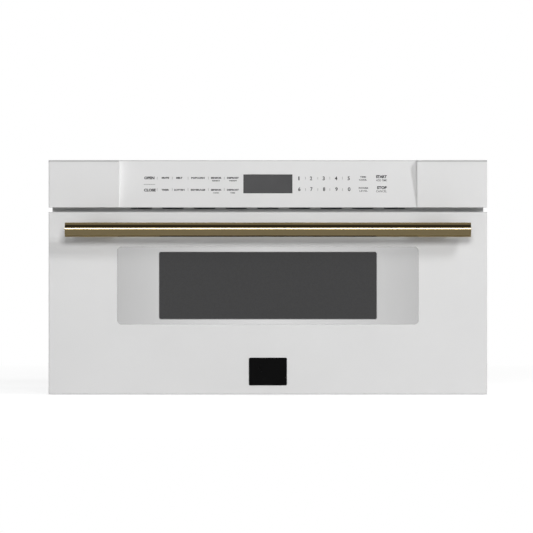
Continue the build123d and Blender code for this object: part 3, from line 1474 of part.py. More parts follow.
# Latch hooks that reach through the mounting frame to the interlock switches
with BuildPart() as latch_hooks:
    for side in (1, -1):
        with BuildSketch(Plane.YZ.offset(side * (hook_x - hook_thickness / 2))):
            with BuildLine():
                Polyline(
                    (y_door_back, hook_z - hook_height / 2),
                    (y_door_back, hook_z + hook_height / 2),
                    (y_door_back + hook_reach - hook_nose, hook_z + hook_height / 4),
                    (y_door_back + hook_reach - hook_nose, hook_z + hook_height / 4 + hook_nose),
                    (y_door_back + hook_reach, hook_z + hook_height / 4),
                    (y_door_back + hook_reach, hook_z - hook_height / 4),
                    close=True,
                )
            make_face()
        extrude(amount=side * hook_thickness)
save(latch_hooks, "latch_hooks")

print("slope of the control face, degrees:", round(degrees(slope), 2))
print("pinion turn per metre of drawer travel, radians:", round(1000 / gear_radius, 4))
print("pinion turn over the travel, degrees:", round(degrees(drawer_travel / gear_radius), 1))
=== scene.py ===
import json
import math

import bpy
import numpy as np
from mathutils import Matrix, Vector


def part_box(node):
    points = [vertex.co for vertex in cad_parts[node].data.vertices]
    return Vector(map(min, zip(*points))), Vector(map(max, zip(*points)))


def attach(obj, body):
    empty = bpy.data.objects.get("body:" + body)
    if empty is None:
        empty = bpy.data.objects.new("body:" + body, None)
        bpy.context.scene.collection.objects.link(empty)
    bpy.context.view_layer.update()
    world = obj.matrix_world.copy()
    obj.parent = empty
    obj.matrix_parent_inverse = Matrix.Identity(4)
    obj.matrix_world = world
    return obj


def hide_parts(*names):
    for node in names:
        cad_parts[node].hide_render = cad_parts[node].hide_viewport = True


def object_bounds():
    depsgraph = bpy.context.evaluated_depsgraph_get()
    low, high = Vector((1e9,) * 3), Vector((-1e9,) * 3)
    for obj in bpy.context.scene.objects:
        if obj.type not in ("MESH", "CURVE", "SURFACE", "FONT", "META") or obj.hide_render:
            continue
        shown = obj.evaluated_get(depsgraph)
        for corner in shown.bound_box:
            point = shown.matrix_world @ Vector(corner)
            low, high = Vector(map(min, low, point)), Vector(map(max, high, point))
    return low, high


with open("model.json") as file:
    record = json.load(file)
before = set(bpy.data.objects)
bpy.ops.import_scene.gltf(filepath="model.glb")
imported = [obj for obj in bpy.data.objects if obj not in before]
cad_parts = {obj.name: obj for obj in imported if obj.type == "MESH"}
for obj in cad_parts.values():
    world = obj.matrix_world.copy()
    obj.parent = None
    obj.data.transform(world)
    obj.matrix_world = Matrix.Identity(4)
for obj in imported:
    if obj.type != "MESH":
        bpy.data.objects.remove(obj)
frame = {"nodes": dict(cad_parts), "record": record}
CAD_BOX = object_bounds()

bl_info = {
    "name": "Drawer Microwave Dress",
    "version": (1, 0, 0),
    "blender": (4, 5, 0),
    "location": "3D View > Sidebar > Microwave",
    "description": "Finishes, key print, handle and fasteners for a built-in drawer microwave",
    "category": "Object",
}

MM = 0.001
SLOT_OF = {piece["node"]: piece["material_slot"] for piece in frame["record"]["subparts"]}


def span(node, axis):
    """Lowest and highest place of a CAD node along one axis, in metres."""
    low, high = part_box(node)
    return low[axis], high[axis]


def length_prop(name, description, default):
    """A length in metres that the sidebar shows."""
    return bpy.props.FloatProperty(
        name=name, description=description, default=default, unit="LENGTH", precision=4
    )


def colour_prop(name, description, default):
    """A linear colour that the sidebar shows."""
    return bpy.props.FloatVectorProperty(
        name=name, description=description, default=default, subtype="COLOR", size=3, min=0.0, max=1.0
    )


def power_prop(name, description, default):
    """A lamp's power in watts that the sidebar shows."""
    return bpy.props.FloatProperty(name=name, description=description, default=default, unit="POWER")


BAR_LOW, BAR_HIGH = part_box("handle_bar")
FACE_Y = span("door_skin", 1)[0]
FASCIA_LOW, FASCIA_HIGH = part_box("control_fascia")
END_BLOCK_WIDTH = 0.122
KEY_RECESS_DEPTH = 0.018


class HandleSizes(bpy.types.PropertyGroup):
    """Sizes of the handle bar."""

    length: length_prop("Length", "Length of the bar", BAR_HIGH[0] - BAR_LOW[0])
    diameter: length_prop("Diameter", "Diameter of the bar", BAR_HIGH[2] - BAR_LOW[2])
    end_round: length_prop("End round", "Radius of the rounding at each end of the bar", 0.0006)


class PrintSizes(bpy.types.PropertyGroup):
    """Sizes of the printed key legends."""

    film: length_prop("Film", "Thickness of the printed ink film", 0.00006)
    divider_width: length_prop("Divider width", "Width of the thin lines between the keys", 0.00045)
    divider_height: length_prop("Divider height", "Height of the thin lines between the keys", 0.0046)
    tick_height: length_prop("Tick height", "Height of the dashes between the two drawer keys", 0.0009)


class ScrewSizes(bpy.types.PropertyGroup):
    """Sizes of the sheet-metal screws."""

    head: length_prop("Head", "Diameter of a screw's head", 0.0078)
    height: length_prop("Height", "Height of a case screw's head", 0.0023)
    low_height: length_prop("Low height", "Height of a head inside the drawer's gap", 0.0011)


class FinishColours(bpy.types.PropertyGroup):
    """Colours of the finishes, linear."""

    white: colour_prop("White", "Enamel of the door and the fascia", (0.71, 0.71, 0.71))
    silver: colour_prop("Silver", "Trim round the window", (0.56, 0.56, 0.56))
    brass: colour_prop("Brass", "Handle and its posts", (0.136, 0.103, 0.045))
    glass: colour_prop("Dark glass", "Window of the door", (0.020, 0.020, 0.021))
    grey: colour_prop("Frame grey", "Mounting frame behind the front", (0.71, 0.71, 0.71))
    cavity: colour_prop("Cavity grey", "Enamel of the oven cavity", (0.42, 0.42, 0.41))
    zinc: colour_prop("Zinc", "Galvanised sheet of the case", (0.50, 0.51, 0.52))
    ink: colour_prop("Ink", "Printed words and digits", (0.02, 0.02, 0.022))
    pale_ink: colour_prop("Pale ink", "Second lines and dividers", (0.05, 0.05, 0.052))


class StudioSettings(bpy.types.PropertyGroup):
    """Camera and lights."""

    camera_distance: length_prop("Camera distance", "From the door's face to the camera", 9.0)
    camera_height: length_prop("Camera height", "Height of the camera over the base", 0.2076)
    camera_side: length_prop("Camera side", "Sideways place of the camera", -0.0024)
    lens: bpy.props.FloatProperty(
        name="Lens", description="Focal length in millimetres", default=350.8, unit="CAMERA"
    )
    front_power: power_prop("Front power", "Soft box over the camera", 144.0)
    key_power: power_prop("Key power", "Box to the upper right", 109.5)
    panel_key_power: power_prop("Panel key power", "Box further right for the fascia alone", 127.0)
    strip_power: power_prop("Strip power", "Each of the three boxes for the handle alone", 224.0)
    fill_power: power_prop("Fill power", "Box behind each side", 34.0)
    card_power: power_prop("Card power", "Card at the left end of the key face", 0.0017)
    ambient: bpy.props.FloatProperty(
        name="Ambient", description="Light of the room on the object", default=0.15, subtype="FACTOR"
    )


GROUPS = {
    "microwave_handle": HandleSizes,
    "microwave_print": PrintSizes,
    "microwave_screws": ScrewSizes,
    "microwave_colours": FinishColours,
    "microwave_studio": StudioSettings,
}


# Mesh building


def closed(rings, poles):
    """Points and faces of a closed surface: rings of equal steps, from a pole below to a pole above."""
    count, steps = rings.shape[:2]
    step = np.arange(steps)
    following = (step + 1) % steps
    ring = np.arange(count - 1)[:, None] * steps
    corners = (ring + step, ring + following, ring + steps + following, ring + steps + step)
    sides = np.stack(corners, axis=-1).reshape(-1, 4)
    end = (count - 1) * steps
    below = np.stack((np.full(steps, count * steps), following, step), axis=-1)
    above = np.stack((np.full(steps, count * steps + 1), end + step, end + following), axis=-1)
    faces = sides.tolist() + below.tolist() + above.tolist()
    return np.vstack((rings.reshape(-1, 3), poles)), faces


def turned(profile, steps):
    """Surface of revolution about local Z.

    A profile point (radius, height) goes to (radius cos t, radius sin t, height) for t over a full turn.
    The first and last profile points lie on the axis and become the two poles.
    """
    radius, height = profile[1:-1, :1], profile[1:-1, 1:]
    angle = np.linspace(0, 2 * math.pi, steps, endpoint=False)
    places = np.broadcast_arrays(radius * np.cos(angle), radius * np.sin(angle), height)
    return closed(np.stack(places, axis=-1), [(0, 0, profile[0, 1]), (0, 0, profile[-1, 1])])


def joined(shapes):
    """Several (points, faces) shapes as one."""
    points, faces, count = [], [], 0
    for shape_points, shape_faces in shapes:
        points.append(shape_points)
        faces += [[index + count for index in face] for face in shape_faces]
        count += len(shape_points)
    return np.vstack(points), faces


def new_object(name, data):
    """An object at the origin, in the scene."""
    made = bpy.data.objects.new(name, data)
    bpy.context.scene.collection.objects.link(made)
    return made


def make_piece(name, shape, finish, body, smooth_angle=40.0):
    """Puts a shape into a mesh object at the origin, dressed and riding on a CAD body."""
    points, faces = shape
    mesh = bpy.data.meshes.new(name)
    mesh.from_pydata(points.tolist(), [], faces)
    if mesh.validate():
        raise RuntimeError(f"{name} has faces that Blender had to repair")
    mesh.shade_smooth()
    mesh.set_sharp_from_angle(angle=math.radians(smooth_angle))
    mesh.materials.append(finish)
    piece = new_object(name, mesh)
    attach(piece, body)
    return piece


# Finishes: each is a Principled shader fed by patterns on Object coordinates

# Levels between which most of a pattern lies
PATTERN_LOW = 0.3
PATTERN_HIGH = 0.7


def shader_of(material):
    """The material's Principled shader."""
    return material.node_tree.nodes["Principled BSDF"]


def new_finish(name, roughness, metallic=0.0, **sockets):
    """A node material; constants go straight onto the shader's sockets."""
    material = bpy.data.materials.new(f"{name}_finish")
    material.use_nodes = True
    shader = shader_of(material)
    shader.inputs["Roughness"].default_value = roughness
    shader.inputs["Metallic"].default_value = metallic
    for socket, value in sockets.items():
        shader.inputs[socket.replace("_", " ")].default_value = value
    return material


def coordinates(material, stretch=(1.0, 1.0, 1.0)):
    """Object coordinates, stretched."""
    tree = material.node_tree
    source = tree.nodes.new("ShaderNodeTexCoord")
    mapping = tree.nodes.new("ShaderNodeMapping")
    mapping.inputs["Scale"].default_value = stretch
    tree.links.new(source.outputs["Object"], mapping.inputs["Vector"])
    return mapping.outputs["Vector"]


def noise(material, scale, stretch=(1.0, 1.0, 1.0), detail=3.0):
    """Cloudy pattern from 0 to 1."""
    tree = material.node_tree
    node = tree.nodes.new("ShaderNodeTexNoise")
    node.inputs["Scale"].default_value = scale
    node.inputs["Detail"].default_value = detail
    tree.links.new(coordinates(material, stretch), node.inputs["Vector"])
    return node.outputs["Fac"]


def cells(material, scale, output="Color"):
    """Pattern of cells: a random colour for each, or the distance to its middle."""
    tree = material.node_tree
    node = tree.nodes.new("ShaderNodeTexVoronoi")
    node.inputs["Scale"].default_value = scale
    tree.links.new(coordinates(material), node.inputs["Vector"])
    return node.outputs[output]


def bands(material, scale, axis, distortion):
    """Parallel bands across one axis."""
    tree = material.node_tree
    node = tree.nodes.new("ShaderNodeTexWave")
    node.bands_direction = axis
    node.inputs["Scale"].default_value = scale
    node.inputs["Distortion"].default_value = distortion
    tree.links.new(coordinates(material), node.inputs["Vector"])
    return node.outputs["Fac"]


def brush_lines(material, along):
    """Fine lines drawn out along one axis."""
    stretch = tuple(1.0 if axis == along else 60.0 for axis in "XYZ")
    return noise(material, 26.0, stretch, detail=4.0)


def axes(tree, place):
    """X, Y and Z of a place, each as a socket."""
    node = tree.nodes.new("ShaderNodeSeparateXYZ")
    tree.links.new(place, node.inputs["Vector"])
    return [node.outputs[axis] for axis in "XYZ"]


def computed(tree, operation, *inputs):
    """Value of a math node whose inputs are sockets or plain numbers."""
    node = tree.nodes.new("ShaderNodeMath")
    node.operation = operation
    for socket, value in zip(node.inputs, inputs):
        if isinstance(value, float):
            socket.default_value = value
        else:
            tree.links.new(value, socket)
    return node.outputs["Value"]


def spread_over(tree, source, low, high):
    """A value's place between two ends, from 0 to 1."""
    node = tree.nodes.new("ShaderNodeMapRange")
    node.inputs["From Min"].default_value = low
    node.inputs["From Max"].default_value = high
    tree.links.new(source, node.inputs["Value"])
    return node.outputs["Result"]


def ramp(material, source, *stops):
    """Colours at places of a pattern."""
    tree = material.node_tree
    node = tree.nodes.new("ShaderNodeValToRGB")
    elements = node.color_ramp.elements
    elements.remove(elements[1])
    elements[0].position, elements[0].color = stops[0][0], (*stops[0][1], 1.0)
    for place, colour in stops[1:]:
        elements.new(place).color = (*colour, 1.0)
    tree.links.new(source, node.inputs["Fac"])
    return node.outputs["Color"]


def shades(colour, spread):
    """A darker and a lighter shade of a colour."""
    return tuple(c * (1 - spread) for c in colour), tuple(min(c * (1 + spread), 1.0) for c in colour)


def paint(material, colour, spread, source):
    """Lets a pattern move the base colour a little to both sides."""
    dark, light = shades(colour, spread)
    material.diffuse_color = (*colour, 1.0)
    tint = ramp(material, source, (PATTERN_LOW, dark), (PATTERN_HIGH, light))
    material.node_tree.links.new(tint, shader_of(material).inputs["Base Color"])


def vary_roughness(material, low, high, source):
    """Lets a pattern move the roughness between two values."""
    tree = material.node_tree
    node = tree.nodes.new("ShaderNodeMapRange")
    node.inputs["From Min"].default_value = PATTERN_LOW
    node.inputs["From Max"].default_value = PATTERN_HIGH
    node.inputs["To Min"].default_value = low
    node.inputs["To Max"].default_value = high
    tree.links.new(source, node.inputs["Value"])
    tree.links.new(node.outputs["Result"], shader_of(material).inputs["Roughness"])


def relief(material, source, height, strength):
    """Lets a pattern raise the surface by up to a height in metres."""
    tree = material.node_tree
    node = tree.nodes.new("ShaderNodeBump")
    node.inputs["Strength"].default_value = strength
    node.inputs["Distance"].default_value = height
    tree.links.new(source, node.inputs["Height"])
    tree.links.new(node.outputs["Normal"], shader_of(material).inputs["Normal"])


def enamel(name, colour, roughness=0.34):
    """Satin enamel: a faint orange peel and a slow drift of shade."""
    material = new_finish(name, roughness, Specular_IOR_Level=0.15)
    paint(material, colour, 0.012, noise(material, 9.0))
    vary_roughness(material, roughness - 0.04, roughness + 0.06, noise(material, 40.0))
    relief(material, noise(material, 420.0, detail=1.0), 0.00004, 0.35)
    return material


# Painted shade along the fascia's top edge, where the edge turns away from the light: heights on the end
# blocks and the centre, depth, blur and shade
PAINTED_SHADE_HEIGHT = 0.0035
CENTRE_PAINTED_SHADE_HEIGHT = 0.0014
PAINTED_SHADE_DEPTH = 0.0024
PAINTED_SHADE_BLUR = 0.0002
PAINTED_SHADE_LEVEL = 0.72


def fascia_enamel(name, colour):
    """Satin enamel with a thin line of painted shade along the top edge of the fascia, where the edge
    turns away from the light.

    The line is tall on the end blocks and thin on the centre, which stands back by the depth of the
    key recess.
    """
    material = enamel(name, colour, 0.38)
    tree = material.node_tree
    x, y, z = axes(tree, coordinates(material))
    side, blur = FASCIA_HIGH[0] - END_BLOCK_WIDTH, PAINTED_SHADE_BLUR
    under, inner = FASCIA_HIGH[2] - PAINTED_SHADE_HEIGHT, FASCIA_LOW[1] + PAINTED_SHADE_DEPTH
    centre = spread_over(tree, computed(tree, "ABSOLUTE", x), side + blur, side - blur)
    up = computed(tree, "MULTIPLY_ADD", centre, CENTRE_PAINTED_SHADE_HEIGHT - PAINTED_SHADE_HEIGHT, z)
    back = computed(tree, "MULTIPLY_ADD", centre, -KEY_RECESS_DEPTH, y)
    below = spread_over(tree, up, under + blur, under - blur)
    behind = spread_over(tree, back, inner - blur, inner + blur)
    outside = computed(tree, "MAXIMUM", below, behind)
    # painted shade: the base colour is darkened along the top edge
    line = ramp(material, outside, (0.0, (PAINTED_SHADE_LEVEL,) * 3), (1.0, (1.0,) * 3))
    shade = tree.nodes.new("ShaderNodeVectorMath")
    shade.operation = "MULTIPLY"
    base = shader_of(material).inputs["Base Color"]
    tree.links.new(base.links[0].from_socket, shade.inputs[0])
    tree.links.new(line, shade.inputs[1])
    tree.links.new(shade.outputs["Vector"], base)
    return material


def brushed(name, colour, along, roughness, depth, spread, **sockets):
    """Brushed metal: fine lines drawn out along one axis."""
    material = new_finish(name, roughness, 1.0, **sockets)
    lines = brush_lines(material, along)
    paint(material, colour, spread, lines)
    vary_roughness(material, roughness * 0.8, roughness * 1.25, lines)
    relief(material, lines, depth, 0.3)
    return material


# Painted sheen of the window trim, lighter in the middle: place to either side of the middle, in metres,
# and share of the colour
PAINTED_TRIM_SHEEN = ((0.0, 1.25), (0.12, 1.13), (0.19, 1.04), (0.262, 0.91))


def satin_trim(name, colour):
    """Satin metal with a painted sheen: its colour is lightest in the middle and falls off evenly to
    both sides, hardly brushed.
    """
    material = new_finish(name, 0.16, 0.5, Specular_IOR_Level=0.15)
    material.diffuse_color = (*colour, 1.0)
    tree = material.node_tree
    aside = computed(tree, "ABSOLUTE", axes(tree, coordinates(material))[0])
    # painted sheen: the colour is lighter in the middle and darker to both sides
    stops = ((place, tuple(share * level for level in colour)) for place, share in PAINTED_TRIM_SHEEN)
    tree.links.new(ramp(material, aside, *stops), shader_of(material).inputs["Base Color"])
    lines = brush_lines(material, "X")
    vary_roughness(material, 0.14, 0.18, lines)
    relief(material, lines, 0.000008, 0.2)
    return material


def galvanised(name, colour):
    """Zinc-coated sheet: spangle cells that differ in shade and gloss."""
    material = new_finish(name, 0.55, 0.85)
    spangle = cells(material, 90.0)
    paint(material, colour, 0.09, spangle)
    vary_roughness(material, 0.54, 0.68, spangle)
    relief(material, noise(material, 160.0), 0.00003, 0.3)
    return material


def rolled_steel(name, colour, along="Y"):
    """Bright rolled steel with drawing lines along the member."""
    return brushed(name, colour, along, 0.3, 0.00002, 0.07)


def lacquered_brass(name, colour):
    """Dark brass under clear lacquer, which keeps its brown at a glancing view."""
    lacquer = {"Coat_Weight": 0.5, "Coat_Roughness": 0.03, "Specular_Tint": (0.8, 0.6, 0.16, 1.0)}
    return brushed(name, colour, "X", 0.09, 0.000001, 0.03, **lacquer)


def speckled_enamel(name, colour):
    """Oven enamel: a grey ground with small dark and light specks."""
    material = new_finish(name, 0.28, Coat_Weight=0.3, Coat_Roughness=0.1)
    dark, light = shades(colour, 0.22)
    specks = ramp(
        material, cells(material, 420.0), (0.08, dark), (0.2, colour), (0.82, colour), (0.94, light)
    )
    material.node_tree.links.new(specks, shader_of(material).inputs["Base Color"])
    vary_roughness(material, 0.24, 0.34, noise(material, 60.0))
    relief(material, noise(material, 300.0), 0.00004, 0.3)
    return material


def moulded(name, colour):
    """Moulded plastic with a fine eroded grain."""
    material = new_finish(name, 0.48)
    paint(material, colour, 0.06, noise(material, 30.0))
    vary_roughness(material, 0.42, 0.56, noise(material, 120.0))
    relief(material, noise(material, 900.0, detail=2.0), 0.00006, 0.4)
    return material


def rubber(name, colour):
    """Matt rubber with a dusty bloom."""
    material = new_finish(name, 0.75)
    paint(material, colour, 0.25, noise(material, 55.0, detail=6.0))
    vary_roughness(material, 0.66, 0.85, noise(material, 200.0))
    relief(material, noise(material, 1200.0), 0.00005, 0.5)
    return material


def tinted_glass(name, colour):
    """Dark window glass; the fine dots of the screen behind it only just show."""
    material = new_finish(name, 0.045, IOR=1.5)
    dots = cells(material, 420.0, "Distance")
    dark, light = shades(colour, 0.08)
    tint = ramp(material, dots, (0.25, dark), (0.6, light))
    material.node_tree.links.new(tint, shader_of(material).inputs["Base Color"])
    vary_roughness(material, 0.03, 0.07, noise(material, 14.0))
    return material


def clear_glass(name, colour, roughness=0.02, weight=0.9):
    """Clear glass with a faint film of smears."""
    material = new_finish(name, roughness, IOR=1.5, Transmission_Weight=weight)
    paint(material, colour, 0.03, noise(material, 18.0))
    vary_roughness(material, roughness, roughness + 0.05, noise(material, 35.0, detail=6.0))
    return material


def gloss_black(name, colour):
    """Gloss black lacquer with a hardly visible peel."""
    material = new_finish(name, 0.25, Specular_IOR_Level=0.05)
    paint(material, colour, 0.15, noise(material, 60.0))
    vary_roughness(material, 0.2, 0.3, noise(material, 25.0))
    relief(material, noise(material, 500.0, detail=1.0), 0.00002, 0.2)
    return material


def smoked_lens(name, colour):
    """Smoked display lens with a faint cloud in its tint."""
    material = new_finish(name, 0.06, IOR=1.49, Specular_IOR_Level=0.25)
    paint(material, colour, 0.05, noise(material, 22.0))
    vary_roughness(material, 0.05, 0.08, noise(material, 90.0))
    return material


def laminated(name, colour):
    """Stacked steel sheets seen edge on."""
    material = new_finish(name, 0.5, 0.8)
    sheets = bands(material, 95.0, "Y", 0.4)
    paint(material, colour, 0.25, sheets)
    vary_roughness(material, 0.42, 0.6, noise(material, 80.0))
    relief(material, sheets, 0.0001, 0.5)
    return material


def wound(name, colour):
    """Lacquered wire laid turn on turn."""
    material = new_finish(name, 0.32, 0.9, Coat_Weight=0.4, Coat_Roughness=0.15)
    turns = bands(material, 110.0, "Z", 0.6)
    paint(material, colour, 0.3, turns)
    vary_roughness(material, 0.26, 0.42, noise(material, 70.0))
    relief(material, turns, 0.0003, 0.6)
    return material


def circuit_board(name, colour):
    """Solder-masked board with copper runs under the mask."""
    material = new_finish(name, 0.3, Coat_Weight=0.4, Coat_Roughness=0.12)
    tree = material.node_tree
    runs = tree.nodes.new("ShaderNodeTexBrick")
    runs.inputs["Scale"].default_value = 60.0
    dark, light = shades(colour, 0.35)
    runs.inputs["Color1"].default_value = (*colour, 1.0)
    runs.inputs["Color2"].default_value = (*dark, 1.0)
    runs.inputs["Mortar"].default_value = (*light, 1.0)
    tree.links.new(coordinates(material), runs.inputs["Vector"])
    tree.links.new(runs.outputs["Color"], shader_of(material).inputs["Base Color"])
    material.diffuse_color = (*colour, 1.0)
    vary_roughness(material, 0.24, 0.38, noise(material, 80.0))
    return material


def sintered(name, colour):
    """Sintered magnet: dark and grainy."""
    material = new_finish(name, 0.6)
    paint(material, colour, 0.3, noise(material, 500.0, detail=5.0))
    vary_roughness(material, 0.5, 0.72, noise(material, 150.0))
    relief(material, noise(material, 800.0), 0.00006, 0.5)
    return material


def ink_film(name, colour):
    """Screen-printed ink, slightly uneven."""
    material = new_finish(name, 0.5)
    paint(material, colour, 0.12, noise(material, 350.0))
    return material


def finishes(colours):
    """The finish of each slot of the record."""
    white = tuple(colours.white)
    return {
        "white_enamel": enamel("white_enamel", white),
        "fascia_white": fascia_enamel("fascia_white", tuple(0.995 * level for level in white)),
        "silver_trim": satin_trim("silver_trim", tuple(colours.silver)),
        "dark_window": tinted_glass("dark_window", tuple(colours.glass)),
        "clear_glass": clear_glass("clear_glass", (0.86, 0.9, 0.88)),
        "tray_ceramic": clear_glass("tray_ceramic", (0.72, 0.74, 0.74), 0.12, 0.35),
        "handle_brass": lacquered_brass("handle_brass", tuple(colours.brass)),
        "badge_black": gloss_black("badge_black", (0.0015, 0.0015, 0.0016)),
        "display_lens": smoked_lens("display_lens", (0.071, 0.071, 0.073)),
        "frame_grey": enamel("frame_grey", tuple(colours.grey), 0.5),
        "cavity_enamel": speckled_enamel("cavity_enamel", tuple(colours.cavity)),
        "zinc_sheet": galvanised("zinc_sheet", tuple(colours.zinc)),
        "rail_steel": rolled_steel("rail_steel", (0.58, 0.58, 0.57)),
        "core_steel": laminated("core_steel", (0.16, 0.16, 0.17)),
        "copper_winding": wound("copper_winding", (0.55, 0.24, 0.11)),
        "ferrite": sintered("ferrite", (0.035, 0.035, 0.037)),
        "bare_aluminium": rolled_steel("bare_aluminium", (0.68, 0.69, 0.7), "X"),
        "board_green": circuit_board("board_green", (0.03, 0.16, 0.06)),
        "black_plastic": moulded("black_plastic", (0.02, 0.02, 0.021)),
        "grey_plastic": moulded("grey_plastic", (0.22, 0.22, 0.225)),
        "white_plastic": moulded("white_plastic", (0.66, 0.66, 0.64)),
        "rubber_black": rubber("rubber_black", (0.018, 0.018, 0.018)),
        "bulb_glass": clear_glass("bulb_glass", (0.95, 0.92, 0.84), 0.1, 0.8),
    }


def finish_of(slot):
    """A finish that the finishes operator has made."""
    name = f"{slot}_finish"
    if name not in bpy.data.materials:
        raise RuntimeError(f"run the finishes operator first: there is no {name}")
    return bpy.data.materials[name]


class MICROWAVE_OT_finishes(bpy.types.Operator):
    """Makes the finishes and puts them on the CAD pieces"""

    bl_idname = "microwave.finishes"
    bl_label = "Finishes"

    def execute(self, context):
        made = finishes(context.scene.microwave_colours)
        for name, node in frame["nodes"].items():
            node.data.materials.clear()
            node.data.materials.append(made[SLOT_OF[name]])
        return {"FINISHED"}


# Steps of the handle bar's surface: round each end's bend, along the straight and about the axis
BEND_STEPS = 7
RUN_STEPS = 13
BAR_STEPS = 96


class MICROWAVE_OT_handle(bpy.types.Operator):
    """Turns the round handle bar and lays it in its posts"""

    bl_idname = "microwave.handle"
    bl_label = "Handle"

    def execute(self, context):
        sizes = context.scene.microwave_handle
        half, radius, corner = sizes.length / 2, sizes.diameter / 2, sizes.end_round
        bend = np.linspace(0, math.pi / 2, BEND_STEPS)
        out, up = radius - corner + corner * np.sin(bend), -half + corner - corner * np.cos(bend)
        end = np.column_stack((out, up))
        heights = np.linspace(-half + 2 * corner, half - 2 * corner, RUN_STEPS)
        run = np.column_stack((np.full(RUN_STEPS, radius), heights))
        other = (end * (1, -1))[::-1]
        points, faces = turned(np.vstack(([(0, -half)], end, run, other, [(0, half)])), BAR_STEPS)
        along = points[:, [2, 0, 1]] + np.array((BAR_LOW + BAR_HIGH) / 2)
        finish = finish_of("handle_brass")
        bar = make_piece("bar_of_handle", (along, faces), finish, "drawer")
        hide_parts("handle_bar")
        return {"FINISHED"}


# Key legends: words, middle across the panel, height up the slope, width and cap height in
# millimetres, and weight
LEGENDS = (
    ("OPEN", -205.7, 10.5, 17.8, 5.0, 0.050),
    ("CLOSE", -204.7, -11.1, 20.4, 5.0, 0.050),
    ("MUTE", -177.8, 10.5, 12.8, 3.1, 0.060),
    ("MELT", -153.7, 10.5, 10.9, 3.1, 0.060),
    ("POPCORN", -121.4, 10.5, 23.1, 3.1, 0.060),
    ("SENSOR", -89.7, 10.5, 18.4, 3.1, 0.060),
    ("DEFROST", -60.7, 10.5, 20.6, 3.1, 0.060),
    ("TIMER", -177.9, -10.7, 13.0, 3.1, 0.048),
    ("SOFTEN", -153.6, -10.7, 18.0, 3.1, 0.042),
    ("BEVERAGE", -121.2, -10.7, 24.9, 3.1, 0.050),
    ("SENSOR", -89.7, -10.7, 18.4, 3.1, 0.055),
    ("DEFROST", -60.7, -10.7, 20.6, 3.1, 0.050),
    ("1", 53.8, 9.7, 2.0, 6.8, 0.024),
    ("2", 74.9, 9.7, 3.8, 6.8, 0.024),
    ("3", 96.8, 9.7, 3.8, 6.8, 0.024),
    ("4", 118.3, 9.7, 4.2, 6.8, 0.024),
    ("5", 140.2, 9.7, 3.8, 6.8, 0.024),
    ("6", 54.5, -9.5, 4.2, 6.8, 0.024),
    ("7", 75.6, -9.5, 4.0, 6.8, 0.024),
    ("8", 97.5, -9.5, 4.0, 6.8, 0.024),
    ("9", 119.0, -9.5, 4.2, 6.8, 0.024),
    ("0", 140.9, -9.5, 4.6, 6.8, 0.024),
    ("START", 196.9, 12.7, 18.8, 5.3, 0.050),
    ("STOP", 197.7, -6.8, 17.0, 5.3, 0.050),
)
SECOND_LINES = (
    ("REHEAT", -89.8, 5.5, 13.6, 2.5, 0.040),
    ("WEIGHT", -60.5, 5.5, 14.0, 2.5, 0.040),
    ("COOK", -89.8, -16.0, 10.2, 2.4, 0.030),
    ("TIME", -61.2, -16.0, 8.5, 2.2, 0.030),
    ("TIME", 165.1, 12.2, 10.4, 3.0, 0.030),
    ("COOK", 165.1, 7.1, 13.4, 3.0, 0.030),
    ("POWER", 166.0, -7.6, 16.8, 3.0, 0.030),
    ("LEVEL", 166.0, -12.6, 14.4, 2.5, 0.020),
    ("ADD TIME", 196.9, 6.3, 18.4, 3.6, 0.010),
    ("CANCEL", 196.9, -13.2, 18.4, 3.7, 0.010),
)
# Thin lines between the keys, and dashes between the two drawer keys, in millimetres
DIVIDERS_ACROSS = (-192.0, -165.9, -138.5, -103.3, -75.7, 65.2, 86.6, 107.5, 129.2)
DIVIDERS_UP = (10.1, -10.1)
TICKS_ACROSS = (-213.5, -209.5, -205.5, -201.5, -197.5)
TICK_UP = -0.9
TICK_WIDTH = 2.4
PRINT_EDGE_ANGLE = 10.0


def read_out(items, field, width=1, kind=float):
    """A field of a mesh's vertices, loops or faces, one row of the array for each."""
    values = np.empty(len(items) * width, kind)
    items.foreach_get(field, values)
    return values.reshape(-1, width) if width > 1 else values


def word_shape(words, weight):
    """A solid word of unit width, height and thickness about the origin, in Blender's own typeface."""
    curve = bpy.data.curves.new("word", "FONT")
    curve.body = words
    curve.align_x = "CENTER"
    curve.offset = weight
    curve.resolution_u = 3
    curve.extrude = 0.5
    holder = bpy.data.objects.new("word", curve)
    mesh = bpy.data.meshes.new_from_object(holder)
    bpy.data.objects.remove(holder)
    bpy.data.curves.remove(curve)
    points = read_out(mesh.vertices, "co", 3)
    corners = read_out(mesh.loops, "vertex_index", kind=int)
    starts = read_out(mesh.polygons, "loop_start", kind=int)
    bpy.data.meshes.remove(mesh)
    kept, numbers = np.unique(np.round(points, 5), axis=0, return_inverse=True)
    loops = np.split(numbers.ravel()[corners], starts[1:])
    faces = [list(dict.fromkeys(loop.tolist())) for loop in loops]
    low, high = kept.min(axis=0), kept.max(axis=0)
    return (kept - (low + high) / 2) / (high - low), [face for face in faces if len(face) > 2]


def bar_shape():
    """A unit box about the origin."""
    side = np.array([[-0.5, -0.5], [0.5, -0.5], [0.5, 0.5], [-0.5, 0.5]])
    points = np.vstack([np.column_stack((side, np.full(4, z))) for z in (-0.5, 0.5)])
    return points, [[3, 2, 1, 0], [4, 5, 6, 7], [0, 1, 5, 4], [1, 2, 6, 5], [2, 3, 7, 6], [3, 0, 4, 7]]


def key_face():
    """Middle, upward and outward direction of the leaning key face.

    They come from the display lens, which lies flush in that face: its largest triangle that looks to
    the front gives the outward direction, and its corners furthest that way give the middle.
    """
    mesh = frame["nodes"]["display_window"].data
    points = read_out(mesh.vertices, "co", 3)
    normals, areas = read_out(mesh.polygons, "normal", 3), read_out(mesh.polygons, "area")
    outward = normals[np.argmax(areas * (normals[:, 1] < -0.5))]
    reach = points @ outward
    front = points[reach > reach.max() - 1e-5]
    upward = np.array((0.0, outward[2], -outward[1]))
    return (front.min(axis=0) + front.max(axis=0)) / 2, upward, outward


